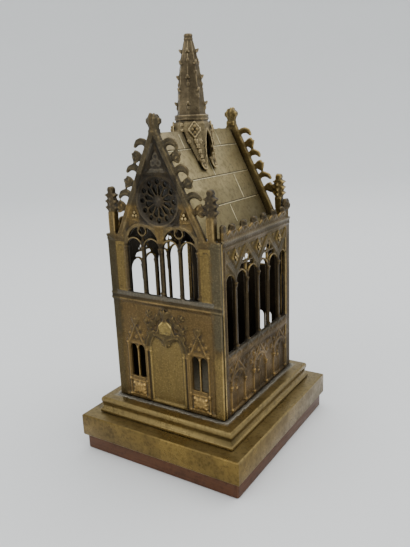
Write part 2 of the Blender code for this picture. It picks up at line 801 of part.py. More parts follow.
def rake_plate():
    """Raised band up both edges of the gable."""
    foot = EAVE_HEIGHT - EDGE_LAP
    outer_foot = rake_half(foot) + EDGE_LAP
    outer_neck = rake_half(GABLE_NECK) + EDGE_LAP
    inner_foot = rake_half(foot) - RAKE_BAND
    inner_apex = rake_height(RAKE_BAND)
    left = [(-inner_foot, foot), (-outer_foot, foot), (-outer_neck, GABLE_NECK)]
    outline = [(0.0, inner_apex)] + left + [(-u, v) for u, v in reversed(left)]
    return plate([outline], PANEL_THICKNESS - LAYER_LAP * 1.5, MOULDING_THICKNESS)


def ring_band(centre, inner, outer, steps, start=0.0, end=360.0):
    """Loops of a round band, whole or open."""
    if end - start >= 360.0:
        return [circle(centre, outer, steps), circle(centre, inner, steps)]
    return [arc(centre, outer, start, end, steps) + arc(centre, inner, end, start, steps)]


def window_bands():
    """Raised bands round the windows' arches and round the rose."""
    near = PANEL_THICKNESS - LAYER_LAP / 2
    inset = ARCH_BAND * 0.3
    shapes = []
    for side in (-1, 1):
        centre = (side * WINDOW_OFFSET, WINDOW_HEAD - WINDOW_HALF)
        start = 8.0 if side > 0 else 18.0
        end = 162.0 if side > 0 else 172.0
        outer = WINDOW_HALF + ARCH_BAND - inset / 2
        loops = ring_band(centre, WINDOW_HALF + inset, outer, 7, start, end)
        shapes.append(plate(loops, near, MOULDING_THICKNESS - EDGE_LAP))
    outer = ROSE_RADIUS + ARCH_BAND - inset
    rose = ring_band((0.0, ROSE_HEIGHT), ROSE_RADIUS + inset, outer, CIRCLE_STEPS)
    shapes.append(plate(rose, near, MOULDING_THICKNESS + EDGE_LAP))
    return shapes


def boss(centre, radius, steps, thickness):
    """Low round boss that stands for a cast leaf or berry."""
    return plate([circle(centre, radius, steps)], PANEL_THICKNESS - LAYER_LAP, thickness)


def door_plates():
    """Door jambs and head, the ogee over it and the leaves that climb round it."""
    near = PANEL_THICKNESS - LAYER_LAP
    spring_rise = DOOR_HEAD - DOOR_SPRING
    outer_half = DOOR_HALF + DOOR_JAMB
    outer = [(outer_half, FOOT_RAIL / 2), (outer_half, DOOR_SPRING)]
    outer += [
        (outer_half * 0.93, DOOR_SPRING + spring_rise * 0.66),
        (outer_half * 0.74, DOOR_HEAD + DOOR_JAMB * 0.55),
        (OGEE_HALF, DOOR_HEAD + DOOR_JAMB * 0.75),
    ]
    inner = [(DOOR_HALF, FOOT_RAIL), (DOOR_HALF, DOOR_SPRING)]
    inner += [
        (DOOR_HALF * 0.94, DOOR_SPRING + spring_rise * 0.60),
        (DOOR_HALF * 0.74, DOOR_HEAD),
        (DOOR_HALF * 0.46, DOOR_HEAD - spring_rise * 0.16),
        (DOOR_HALF * 0.26, DOOR_PENDANT + (DOOR_HEAD - DOOR_PENDANT) * 0.42),
        (0.0, DOOR_PENDANT),
    ]
    loops = [
        outer + [(-u, v) for u, v in reversed(outer)],
        inner + [(-u, v) for u, v in reversed(inner[:-1])],
    ]
    ogee_foot = DOOR_HEAD + OGEE_BAND * 0.4
    rise = OGEE_APEX - ogee_foot
    ogee_outer = [
        (-OGEE_HALF * 1.3, ogee_foot), (-OGEE_HALF * 0.95, ogee_foot + rise * 0.30),
        (-OGEE_HALF * 0.78, ogee_foot + rise * 0.58), (-OGEE_HALF * 0.36, ogee_foot + rise * 0.84),
        (0.0, OGEE_APEX),
    ]
    inner_foot = ogee_foot + OGEE_BAND
    inner_rise = OGEE_APEX - OGEE_BAND - inner_foot
    ogee_inner = [
        (-OGEE_HALF * 0.72, inner_foot), (-OGEE_HALF * 0.56, inner_foot + inner_rise * 0.48),
        (-OGEE_HALF * 0.30, inner_foot + inner_rise * 0.78), (0.0, inner_foot + inner_rise),
    ]
    shapes = [
        plate(loops, near, RELIEF_THICKNESS),
        plate([mirrored(ogee_outer), mirrored(ogee_inner)], near - EDGE_LAP, RELIEF_THICKNESS + EDGE_LAP),
    ]
    leaves = [(1.95, 0.12), (1.80, 0.50), (1.42, 0.76), (0.86, 1.06)]
    for across, up in leaves:
        for side in (-1, 1):
            place = (side * OGEE_HALF * across, ogee_foot + rise * up)
            shapes.append(boss(place, LEAF_RADIUS, 5, RELIEF_THICKNESS + EDGE_LAP * 2))
    shapes.append(boss((0.0, OGEE_APEX + LEAF_RADIUS * 1.4), LEAF_RADIUS * 1.5, 6, MOULDING_THICKNESS))
    return shapes


def gablet_plates(side):
    """Gablet over a lancet pair, its leaves, colonettes and the panel of leaves below."""
    near = PANEL_THICKNESS - LAYER_LAP
    middle = side * LANCET_PAIR_OFFSET
    rise = GABLET_APEX - GABLET_FOOT
    outer = [(-GABLET_HALF, GABLET_FOOT), (GABLET_HALF, GABLET_FOOT), (0.0, GABLET_APEX)]
    inner_half = GABLET_HALF - GABLET_BAND
    inner_foot = GABLET_FOOT + GABLET_BAND * 0.5
    inner_apex = inner_foot + rise * inner_half / GABLET_HALF
    inner = [(-inner_half, inner_foot), (inner_half, inner_foot), (0.0, inner_apex)]
    shapes = [plate([shifted(outer, middle), shifted(inner, middle)], near, RELIEF_THICKNESS)]
    top = (middle, GABLET_APEX + LEAF_RADIUS * 1.2)
    shapes.append(boss(top, LEAF_RADIUS * 1.3, 6, MOULDING_THICKNESS - EDGE_LAP))
    column_half = (LANCET_SPACING / 2 + LANCET_HALF) + GABLET_BAND * 0.5
    for edge in (-1, 1):
        centre_u = middle + edge * (column_half + GABLET_BAND * 0.2)
        strip = rectangle(
            centre_u - GABLET_BAND * 0.2, centre_u + GABLET_BAND * 0.2, FOOT_RAIL / 2, GABLET_FOOT + EDGE_LAP)
        shapes.append(plate([strip], near + EDGE_LAP, RELIEF_THICKNESS - EDGE_LAP))
    panel_low = FOOT_RAIL * 1.6
    panel_high = LANCET_SILL - FOOT_RAIL * 0.6
    reach = column_half - GABLET_BAND * 0.6
    leaves = rectangle(middle - reach, middle + reach, panel_low, panel_high)
    shapes.append(plate([leaves], near + EDGE_LAP, PANEL_THICKNESS + EDGE_LAP * 1.5))
    return shapes


def gable_wall(half_width, is_front, lift):
    """Mesh of a whole gable wall; only the front one has the bands, ledges, door and gablets."""
    panel = [gable_silhouette(half_width, STOREY_STEP, EDGE_LAP, -lift)]
    panel += rose_loops(is_front) + both_sides(window_loops()) + both_sides(lancet_loops())
    shapes = [
        plate(panel, 0.0, PANEL_THICKNESS),
        plate(frame_loops(half_width, -lift), PANEL_THICKNESS - LAYER_LAP, FRAME_THICKNESS),
        string_course(half_width + EDGE_LAP),
        rake_plate(),
    ]
    shapes += crocket_plates() + finial_plates() + pinnacle_plates(lift)
    if is_front:
        shapes += window_bands() + [ledge(-1), ledge(1)] + door_plates()
        shapes += gablet_plates(-1) + gablet_plates(1)
    return fused(shapes)


def build_front_wall(material):
    """Front gable wall, which covers the ends of the side walls."""
    mesh = gable_wall(CHAPEL_WIDTH / 2, True, 0.0)
    inner_face = -(CHAPEL_DEPTH / 2 - FRAME_THICKNESS)
    add_part("front_wall", mesh, material, (0.0, inner_face, WALL_FOOT))


def build_back_wall(material):
    """Back gable wall, which stands between the side walls and a little higher."""
    half_width = CHAPEL_WIDTH / 2 - FRAME_THICKNESS - FIT_GAP
    mesh = gable_wall(half_width, False, BACK_LIFT)
    inner_face = CHAPEL_DEPTH / 2 - FRAME_THICKNESS - BACK_INSET
    add_part("back_wall", mesh, material, (0.0, inner_face, WALL_FOOT + BACK_LIFT), math.pi)


# Side walls


def bay_fields():
    """Sunken bays of a side wall: whole ones with a steep gable and a cut one at each end."""
    half = BAY / 2 - VEE_BAND
    slope = (VEE_APEX - VEE_FOOT) / half
    whole = [(-half, SIDE_SILL), (half, SIDE_SILL), (half, VEE_FOOT), (0.0, VEE_APEX), (-half, VEE_FOOT)]
    start = BAY + VEE_BAND
    end_height = VEE_FOOT + slope * (SIDE_FIELD_HALF - start)
    cut = [
        (start, SIDE_SILL), (SIDE_FIELD_HALF, SIDE_SILL),
        (SIDE_FIELD_HALF, end_height), (start, VEE_FOOT),
    ]
    return both_sides([shifted(whole, BAY / 2), cut])


def side_light_loops():
    """Tall round-headed lights, two in each whole bay and one in each cut bay."""
    loops = []
    pitch = BAY / 2
    edge = SIDE_FIELD_HALF - EDGE_LAP
    for side in (-1, 1):
        for number in range(BAY_COUNT):
            centre_u = pitch * (number + 0.5)
            half = min(SIDE_LIGHT_HALF, (edge - (centre_u - SIDE_LIGHT_HALF)) / 2)
            centre_u = min(centre_u, edge - half)
            loops.append(arched(side * centre_u, half, SIDE_SILL + EDGE_LAP, SIDE_LIGHT_HEAD))
    return loops


def bay_tracery_loops():
    """Openings over the lights of a whole bay: two low ones under the bar and one above it."""
    slope = (VEE_APEX - VEE_FOOT) / (BAY / 2 - VEE_BAND)
    drop = VEE_BAND
    head_foot = SIDE_BAR_HEIGHT + SIDE_BAR
    head_half = (VEE_APEX - drop - head_foot) / slope
    loops = []
    for side in (-1, 1):
        middle = side * BAY / 2
        head = [(-head_half, head_foot), (head_half, head_foot), (0.0, VEE_APEX - drop)]
        loops.append(shifted(head, middle))
        for half in (-1, 1):
            light = (BAY / 4, SIDE_LIGHT_HEAD - SIDE_LIGHT_HALF)
            radius = SIDE_LIGHT_HALF + TRACERY_BAR
            outer_u = (VEE_APEX - drop - SIDE_BAR_HEIGHT) / slope
            inner_u = MULLION * 0.45
            meet_v = light[1] + math.sqrt(radius ** 2 - (inner_u - light[0]) ** 2)
            start = angle_of(light, (inner_u, meet_v))
            points = [(inner_u, SIDE_BAR_HEIGHT)] + arc(light, radius, start, 74.0, 4)
            points.append((outer_u, SIDE_BAR_HEIGHT))
            loops.append([(middle + half * u, v) for u, v in points])
    return loops


def side_spandrels():
    """Sunken fields over the mullions between bays, for the lozenges."""
    half = BAY / 2 - VEE_BAND
    slope = (VEE_APEX - VEE_FOOT) / half
    foot = VEE_FOOT + VEE_BAND * 2.4
    reach = (SPANDREL_HEAD - foot) / slope
    loops = []
    for number in range(BAY_COUNT):
        middle = BAY * (number - (BAY_COUNT - 1) / 2)
        high_u = min(reach, half)
        outline = [(-high_u, SPANDREL_HEAD), (0.0, foot), (high_u, SPANDREL_HEAD)]
        loops.append([(max(-SIDE_FIELD_HALF, min(SIDE_FIELD_HALF, u + middle)), v) for u, v in outline])
    return loops


def side_frame_loops(low_u, high_u):
    """Frame of a side wall with its sunken fields."""
    lower = rounded_panel(SIDE_FIELD_HALF, FOOT_RAIL, SIDE_PANEL_TOP, LOWER_PANEL_CORNER)
    return [rectangle(low_u, high_u, 0.0, EAVE_HEIGHT), lower] + bay_fields() + side_spandrels()


def blind_arch_plates():
    """Blind arches with gables on the lower panel of a side wall."""
    near = PANEL_THICKNESS - LAYER_LAP
    shapes = []
    for number in range(BAY_COUNT):
        middle = BAY * (number - (BAY_COUNT - 1) / 2)
        outer_head = BLIND_ARCH_SPRING + BLIND_ARCH_HALF
        outer = arched(middle, BLIND_ARCH_HALF, FOOT_RAIL / 2, outer_head, BLIND_ARCH_STEPS)
        inner_half = BLIND_ARCH_HALF - BLIND_ARCH_BAND
        inner_head = BLIND_ARCH_SPRING + inner_half
        inner = arched(middle, inner_half, FOOT_RAIL, inner_head, BLIND_ARCH_STEPS)
        shapes.append(plate([outer, inner], near, RELIEF_THICKNESS))
        spring = BLIND_ARCH_SPRING + BLIND_ARCH_HALF * 0.45
        half = BLIND_ARCH_HALF * 1.06
        band = BLIND_ARCH_BAND * 1.3
        gable = [
            (-half, spring), (-half + band, spring), (0.0, BLIND_GABLE_APEX - band * 1.7),
            (half - band, spring), (half, spring), (0.0, BLIND_GABLE_APEX),
        ]
        shapes.append(plate([shifted(gable, middle)], near + EDGE_LAP, RELIEF_THICKNESS - EDGE_LAP))
    return shapes


def lozenge_plates():
    """Raised lozenge with a sunken middle in each spandrel."""
    near = PANEL_THICKNESS - LAYER_LAP
    shapes = []
    for number in range(BAY_COUNT):
        middle = BAY * (number - (BAY_COUNT - 1) / 2)
        outer = [
            (middle - LOZENGE_HALF_WIDTH, LOZENGE_HEIGHT), (middle, LOZENGE_HEIGHT - LOZENGE_HALF_HEIGHT),
            (middle + LOZENGE_HALF_WIDTH, LOZENGE_HEIGHT), (middle, LOZENGE_HEIGHT + LOZENGE_HALF_HEIGHT),
        ]
        inner = [((u - middle) * 0.6 + middle, (v - LOZENGE_HEIGHT) * 0.6 + LOZENGE_HEIGHT) for u, v in outer]
        shapes.append(plate([outer, inner], near, FRAME_THICKNESS + EDGE_LAP))
    return shapes


def side_mouldings(low_u, high_u):
    """Cornice under the cresting and the sloping sill under the lights."""
    low = PANEL_THICKNESS - LAYER_LAP
    face = FRAME_THICKNESS
    height = EAVE_HEIGHT - CORNICE_FOOT
    cornice = [
        (low, CORNICE_FOOT),
        (face + CORNICE_PROJECTION * 0.4, CORNICE_FOOT + height * 0.10),
        (face + CORNICE_PROJECTION * 0.4, CORNICE_FOOT + height * 0.40),
        (face + CORNICE_PROJECTION, CORNICE_FOOT + height * 0.80),
        (face + CORNICE_PROJECTION, EAVE_HEIGHT + EDGE_LAP),
        (low, EAVE_HEIGHT + EDGE_LAP),
    ]
    sill_drop = SIDE_SILL - SIDE_PANEL_TOP
    sill = [
        (low, SIDE_PANEL_TOP + EDGE_LAP),
        (face + SILL_PROJECTION, SIDE_PANEL_TOP + sill_drop * 0.18),
        (face + SILL_PROJECTION, SIDE_PANEL_TOP + sill_drop * 0.50),
        (low, SIDE_SILL - EDGE_LAP),
    ]
    return [
        moulding(cornice, low_u - EDGE_LAP, high_u + EDGE_LAP),
        moulding(sill, -SIDE_FIELD_HALF - EDGE_LAP, SIDE_FIELD_HALF + EDGE_LAP),
    ]


def crest_outline():
    """Bud on a stalk between two drooping leaves, above the eave."""
    foot = EAVE_HEIGHT - EDGE_LAP * 2
    rise = EAVE_HEIGHT + CREST_HEIGHT - foot
    return mirrored([(u * CREST_HALF, foot + v * rise) for u, v in CREST_SHAPE])


def end_block_outline(start, foot):
    """Block with a low point, along the eave from a start."""
    top = EAVE_HEIGHT + CREST_BLOCK_HEIGHT
    shoulder = top - CREST_BAND * 0.3
    end = start + CREST_BLOCK
    return [(start, foot), (end, foot), (end, shoulder), (start + CREST_BLOCK / 2, top), (start, shoulder)]


def rear_leaf_outline(centre_u, foot):
    """Large leaf knob on a stalk, at the rear end of the cresting."""
    rise = EAVE_HEIGHT + REAR_LEAF_HEIGHT - foot
    half = [(u * REAR_LEAF_HALF, foot + v * rise) for u, v in REAR_LEAF_SHAPE]
    return shifted(half + [(-u, v) for u, v in reversed(half)], centre_u)


def cresting(low_u, high_u):
    """Band, leaf crests, front end block and rear leaf along the top of a side wall."""
    near = FRAME_THICKNESS - CREST_THICKNESS
    foot = EAVE_HEIGHT - FRAME_THICKNESS / 2
    middle = (low_u + high_u) / 2
    band = rectangle(low_u + CREST_BLOCK / 2, high_u - CREST_BLOCK / 2, foot, EAVE_HEIGHT + CREST_BAND)
    shapes = [plate([band], near + EDGE_LAP, FRAME_THICKNESS - EDGE_LAP)]
    for number in range(CREST_COUNT):
        centre_u = middle + CREST_PITCH * (number - (CREST_COUNT - 1) / 2)
        shapes.append(plate([shifted(crest_outline(), centre_u)], near, FRAME_THICKNESS + EDGE_LAP))
    if low_u + high_u > 0.0:
        block = end_block_outline(low_u + EDGE_LAP, foot)
        leaf = rear_leaf_outline(high_u - EDGE_LAP - REAR_LEAF_HALF, foot)
    else:
        block = end_block_outline(high_u - EDGE_LAP - CREST_BLOCK, foot)
        leaf = rear_leaf_outline(low_u + EDGE_LAP + REAR_LEAF_HALF, foot)
    for outline in (block, leaf):
        shapes.append(plate([outline], near - EDGE_LAP, FRAME_THICKNESS + EDGE_LAP * 2))
    return shapes


def side_wall(low_u, high_u):
    """Mesh of a side wall that runs from one end to the other of its own frame."""
    panel = [rectangle(low_u + EDGE_LAP, high_u - EDGE_LAP, EDGE_LAP, EAVE_HEIGHT - EDGE_LAP)]
    panel += side_light_loops() + bay_tracery_loops()
    shapes = [
        plate(panel, 0.0, PANEL_THICKNESS),
        plate(side_frame_loops(low_u, high_u), PANEL_THICKNESS - LAYER_LAP, FRAME_THICKNESS),
    ]
    shapes += side_mouldings(low_u, high_u) + blind_arch_plates() + lozenge_plates() + cresting(low_u, high_u)
    return fused(shapes)


def build_side_walls(material):
    """Left and right walls, which run from the front wall's inner face to the chapel's back."""
    front_end = CHAPEL_DEPTH / 2 - FRAME_THICKNESS - FIT_GAP
    back_end = CHAPEL_DEPTH / 2
    inner_face = CHAPEL_WIDTH / 2 - FRAME_THICKNESS
    right = side_wall(-front_end, back_end)
    left = side_wall(-back_end, front_end)
    add_part("right_wall", right, material, (inner_face, 0.0, WALL_FOOT), math.pi / 2)
    add_part("left_wall", left, material, (-inner_face, 0.0, WALL_FOOT), -math.pi / 2)


# Roof and spire


def roof_section(drop):
    """Half section of the roof, from the ridge to the bearing on the wall, lowered by a drop."""
    bearing = EAVE_HEIGHT + EDGE_LAP + FIT_GAP + ROOF_SHEET
    slant = drop * math.hypot(1.0, ROOF_SLOPE)
    foot = bearing - drop
    fold = (RIDGE_HEIGHT - slant - foot) / ROOF_SLOPE
    edge = CHAPEL_WIDTH / 2 - CREST_THICKNESS - EDGE_LAP - FIT_GAP
    return [(0.0, RIDGE_HEIGHT - slant), (fold, foot), (edge, foot)]


def build_roof(material):
    """Folded sheet that bears on the side walls behind the cresting."""
    outer = roof_section(0.0)
    inner = roof_section(ROOF_SHEET)
    over = [(-u, v) for u, v in reversed(outer)] + outer[1:]
    under = list(reversed(inner)) + [(-u, v) for u, v in inner[1:]]
    outline = over + under
    end_clear = (FINIAL_DEPTH - FRAME_THICKNESS) / 2 + FIT_GAP
    front = CHAPEL_DEPTH / 2 - FRAME_THICKNESS - end_clear
    back = front - BACK_INSET
    mesh = plate([outline], -back, front)
    add_part("roof", mesh, material, (0.0, 0.0, WALL_FOOT))


def cone_profile():
    """Half section of the eight-sided cone, from its cap to inside the ring."""
    ring_top = DRUM_TOP + SPIRE_RING_HEIGHT
    cone_height = SPIRE_TOP - CAP_HEIGHT - ring_top
    return [
        (0.0, SPIRE_TOP),
        (CAP_RADIUS * 0.8, SPIRE_TOP),
        (CAP_RADIUS, SPIRE_TOP - CAP_HEIGHT * 0.4),
        (CONE_TIP_RADIUS * 0.95, SPIRE_TOP - CAP_HEIGHT),
        (CONE_TIP_RADIUS * 1.5, ring_top + cone_height * 0.88),
        (CONE_UPPER_RADIUS, ring_top + cone_height * 0.74),
        (CONE_UPPER_RADIUS * 1.25, ring_top + cone_height * 0.68),
        (CONE_MIDDLE_RADIUS, ring_top + cone_height * 0.44),
        (CONE_MIDDLE_RADIUS * 1.22, ring_top + cone_height * 0.30),
        (CONE_FOOT_RADIUS, DRUM_TOP + SPIRE_RING_HEIGHT / 2),
        (0.0, DRUM_TOP + SPIRE_RING_HEIGHT / 2),
    ]


def drum_profile():
    """Half section of the ring and the hollow, flaring drum, outer side first."""
    ring_top = DRUM_TOP + SPIRE_RING_HEIGHT
    drum_foot = RIDGE_HEIGHT - ROOF_SLOPE * (DRUM_RADIUS + DRUM_FLARE)
    drum_shoulder = DRUM_TOP - SPIRE_RING_HEIGHT * 0.9
    return [
        (0.0, ring_top),
        (SPIRE_RING_RADIUS * 0.94, ring_top),
        (SPIRE_RING_RADIUS, ring_top - SPIRE_RING_HEIGHT * 0.3),
        (SPIRE_RING_RADIUS, DRUM_TOP + SPIRE_RING_HEIGHT * 0.2),
        (SPIRE_RING_RADIUS * 0.95, DRUM_TOP),
        (DRUM_RADIUS, drum_shoulder),
        (DRUM_RADIUS + DRUM_FLARE, drum_foot),
        (DRUM_RADIUS + DRUM_FLARE - DRUM_WALL, drum_foot),
        (DRUM_RADIUS - DRUM_WALL, drum_shoulder),
        (0.0, DRUM_TOP),
    ]


def turned(profile, steps):
    """Solid turned from a profile that starts and ends on the axis, with flat sides to the front."""
    mesh = bpy.data.meshes.new("profile")
    points = [(radius, 0.0, height) for radius, height in profile]
    edges = [(index, index + 1) for index in range(len(points) - 1)]
    mesh.from_pydata(points, edges, [])
    item = working_object("turned", mesh)
    item.rotation_euler = (0.0, 0.0, math.pi / steps)
    turn = item.modifiers.new("turn", "SCREW")
    turn.steps = steps
    turn.render_steps = steps
    turn.use_merge_vertices = True
    turn.merge_threshold = 0.00001
    return settled(item)


def knob_shapes():
    """Knobs up the cone in staggered rows, four to a row."""
    ring_top = DRUM_TOP + SPIRE_RING_HEIGHT
    cone_height = SPIRE_TOP - CAP_HEIGHT - ring_top
    shapes = []
    for row in range(KNOB_ROWS):
        share = 0.10 + 0.62 * row / (KNOB_ROWS - 1)
        radius = cone_radius(share)
        for quarter in range(4):
            angle = math.radians(22.5 + 90.0 * quarter + 45.0 * (row % 2))
            shape = bmesh.new()
            bmesh.ops.create_uvsphere(shape, u_segments=4, v_segments=3, radius=KNOB_RADIUS)
            place = (math.sin(angle) * radius, -math.cos(angle) * radius, ring_top + cone_height * share)
            bmesh.ops.translate(shape, vec=place, verts=shape.verts)
            mesh = bpy.data.meshes.new("knob")
            shape.to_mesh(mesh)
            shape.free()
            shapes.append(mesh)
    return shapes


def cone_radius(share):
    """Radius of the cone at a share of its height."""
    if share < 0.44:
        return CONE_FOOT_RADIUS + (CONE_MIDDLE_RADIUS - CONE_FOOT_RADIUS) * share / 0.44
    return CONE_MIDDLE_RADIUS + (CONE_UPPER_RADIUS - CONE_MIDDLE_RADIUS) * (share - 0.44) / 0.30


def badge_shapes():
    """Raised lozenge on each corner of the drum."""
    shapes = []
    height = DRUM_TOP - SPIRE_RING_HEIGHT - BADGE_HALF
    outline = [
        (-BADGE_HALF, height), (0.0, height - BADGE_HALF * 1.2),
        (BADGE_HALF, height), (0.0, height + BADGE_HALF),
    ]
    for quarter in range(4):
        mesh = plate([outline], DRUM_RADIUS - DRUM_WALL / 2, DRUM_RADIUS + DRUM_WALL * 0.8)
        mesh.transform(Matrix.Rotation(math.radians(40.0 + 90.0 * quarter), 4, "Z"))
        shapes.append(mesh)
    return shapes


def build_spire(material):
    """Spire with a hollow drum that is cut to straddle the ridge and has a dormer each side."""
    shells = [turned(drum_profile(), DRUM_SIDES), turned(cone_profile(), CONE_SIDES)]
    body = fused(shells + knob_shapes() + badge_shapes())
    clear = FIT_GAP * math.hypot(1.0, ROOF_SLOPE)
    reach = DRUM_RADIUS + DRUM_FLARE * 2
    apex = RIDGE_HEIGHT + clear
    under = [(-reach, apex - reach * ROOF_SLOPE), (reach, apex - reach * ROOF_SLOPE), (0.0, apex)]
    roof_cut = plate([under], -reach, reach)
    dormer_foot = apex - reach * ROOF_SLOPE
    dormer_spring = DORMER_APEX - DORMER_HALF * 2.4
    dormer = [
        (-DORMER_HALF, dormer_foot), (DORMER_HALF, dormer_foot), (DORMER_HALF, dormer_spring),
        (DORMER_HALF * 0.72, dormer_spring + DORMER_HALF * 1.2), (0.0, DORMER_APEX),
        (-DORMER_HALF * 0.72, dormer_spring + DORMER_HALF * 1.2), (-DORMER_HALF, dormer_spring),
    ]
    dormer_cut = plate([dormer], -reach, reach)
    dormer_cut.transform(Matrix.Rotation(math.pi / 2, 4, "Z"))
    mesh = carved(body, [roof_cut, dormer_cut])
    add_part("spire", mesh, material, (0.0, SPIRE_CENTRE, WALL_FOOT))


def main():
    """Build every part of the reliquary."""
    wall_brass = brass("aged_wall_brass", (0.30, 0.23, 0.12), 0.42)
    plinth_brass = brass("plinth_brass", (0.42, 0.34, 0.18), 0.40)
    roof_brass = brass("roof_brass", (0.46, 0.42, 0.28), 0.38)
    spire_brass = brass("spire_brass", (0.36, 0.29, 0.17), 0.45)
    board_wood = wood("board_wood", (0.17, 0.07, 0.04), 0.45)
    build_base_board(board_wood)
    build_plinth_slab(plinth_brass)
    build_plinth_step(plinth_brass)
    build_front_wall(wall_brass)
    build_back_wall(wall_brass)
    build_side_walls(wall_brass)
    build_roof(roof_brass)
    build_spire(spire_brass)


main()
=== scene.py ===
"""Looks of the chapel-shaped reliquary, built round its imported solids.

Every length in the tables and dataclasses is in millimetres. A wall is dressed in its own frame, where
x runs along the wall, z is the height above the table and -y points outwards from its inner face.
"""

import logging
import math
import random
from collections.abc import Iterable, Sequence
from dataclasses import dataclass, field
from enum import Enum

import bpy
from mathutils import Matrix, Vector


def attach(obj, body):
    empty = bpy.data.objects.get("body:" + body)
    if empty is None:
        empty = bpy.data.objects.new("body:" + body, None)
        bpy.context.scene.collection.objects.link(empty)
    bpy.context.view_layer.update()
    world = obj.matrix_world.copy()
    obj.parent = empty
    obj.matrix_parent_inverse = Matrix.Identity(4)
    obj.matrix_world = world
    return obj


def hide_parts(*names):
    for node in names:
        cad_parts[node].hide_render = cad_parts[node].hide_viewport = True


LOG = logging.getLogger("reliquary")
MM = 0.001
ROOT_BODY = "root"
SIDES = (-1.0, 1.0)

Object = bpy.types.Object
Material = bpy.types.Material
Tree = bpy.types.NodeTree
Socket = bpy.types.NodeSocket
Point2 = tuple[float, float]
Point3 = tuple[float, float, float]
Colour = tuple[float, float, float]


@dataclass(frozen=True)
class Chapel:
    """Main levels and faces of the solids, as the part's source has them."""

    wall_foot: float = 33.1
    eave: float = 134.0
    half_width: float = 37.5
    half_depth: float = 43.2
    wall_thickness: float = 2.3
    back_inset: float = 3.2
    back_lift: float = 2.4
    neck: float = 189.5
    gable_foot_half: float = 29.5
    gable_slope: float = 2.06
    ridge: float = 189.3
    roof_slope: float = 2.08

    def rake_half(self, height: float) -> float:
        """Half width of the gable's outer edge at a height."""
        return self.gable_foot_half - (height - self.eave) / self.gable_slope


CHAPEL = Chapel()


class Side(Enum):
    """Which way a wall looks: its solid, its turn about Z, the place of its inner face and its lift."""

    FRONT = ("front_wall", 0.0, 0.0, -(CHAPEL.half_depth - CHAPEL.wall_thickness), 0.0)
    BACK = (
        "back_wall", 180.0, 0.0, CHAPEL.half_depth - CHAPEL.wall_thickness - CHAPEL.back_inset, CHAPEL.back_lift,
    )
    RIGHT = ("right_wall", 90.0, CHAPEL.half_width - CHAPEL.wall_thickness, 0.0, 0.0)
    LEFT = ("left_wall", -90.0, -(CHAPEL.half_width - CHAPEL.wall_thickness), 0.0, 0.0)

    def __init__(self, node: str, turn: float, x: float, y: float, lift: float) -> None:
        """Name what the value holds."""
        self.node, self.turn, self.x, self.y, self.lift = node, turn, x, y, lift

    def matrix(self) -> Matrix:
        """Matrix that carries a wall from its own frame to its place, in metres."""
        place = Matrix.Translation(metres((self.x, self.y, self.lift)))
        return place @ Matrix.Rotation(math.radians(self.turn), 4, "Z")

    def outward(self) -> Vector:
        """Unit vector that points out of the wall."""
        return Matrix.Rotation(math.radians(self.turn), 3, "Z") @ Vector((0.0, -1.0, 0.0))


# Points and places


def metres(point: Sequence[float]) -> tuple[float, ...]:
    """Turn millimetres into metres."""
    return tuple(value * MM for value in point)


def polar(angle: float) -> Point2:
    """Cosine and sine of an angle in degrees."""
    turn = math.radians(angle)
    return math.cos(turn), math.sin(turn)


def around(count: int, start: float = 0.0, radius: float = 1.0) -> list[Point2]:
    """Points spaced evenly round a circle, the first at an angle in degrees."""
    spots = [polar(start + 360.0 / count * turn) for turn in range(count)]
    return [(radius * x, radius * z) for x, z in spots]


def arc(centre: Point2, radius: float, start: float, end: float, steps: int) -> list[Point2]:
    """Points of an arc.

    Args:
        centre: its middle.
        radius: its radius.
        start: first angle, in degrees from +x.
        end: last angle.
        steps: number of steps.

    Returns:
        The points.
    """
    spots = [polar(start + (end - start) * step / steps) for step in range(steps + 1)]
    return [(centre[0] + radius * x, centre[1] + radius * z) for x, z in spots]


def arch(middle: float, half: float, foot: float, spring: float) -> list[Point2]:
    """Points up one jamb, over a round arch and down the other jamb.

    Args:
        middle: the arch's middle along the wall.
        half: its half width.
        foot: height of the jambs' feet.
        spring: height where it springs.

    Returns:
        The points.
    """
    over = arc((middle, spring), half, 180.0, 0.0, 10)
    return [(middle - half, foot)] + over + [(middle + half, foot)]


def mirrored(path: list[Point2]) -> list[Point2]:
    """A path that ends on x = 0, and its mirror image after it."""
    return path + [(-x, z) for x, z in reversed(path[:-1])]


def at(x: float, z: float, out: float, spin: float = 0.0, size: float = 1.0, mirror: bool = False) -> Matrix:
    """Matrix that sets an ornament on a wall.

    Args:
        x: place along the wall.
        z: height.
        out: depth outwards from the wall's inner face.
        spin: turn in the wall's plane, clockwise seen from outside, in degrees.
        size: factor on its size.
        mirror: whether it is mirrored left to right.

    Returns:
        The matrix, in metres.
    """
    flip = Matrix.Diagonal((-size if mirror else size, size, size, 1.0))
    return Matrix.Translation(metres((x, -out, z))) @ Matrix.Rotation(math.radians(spin), 4, "Y") @ flip


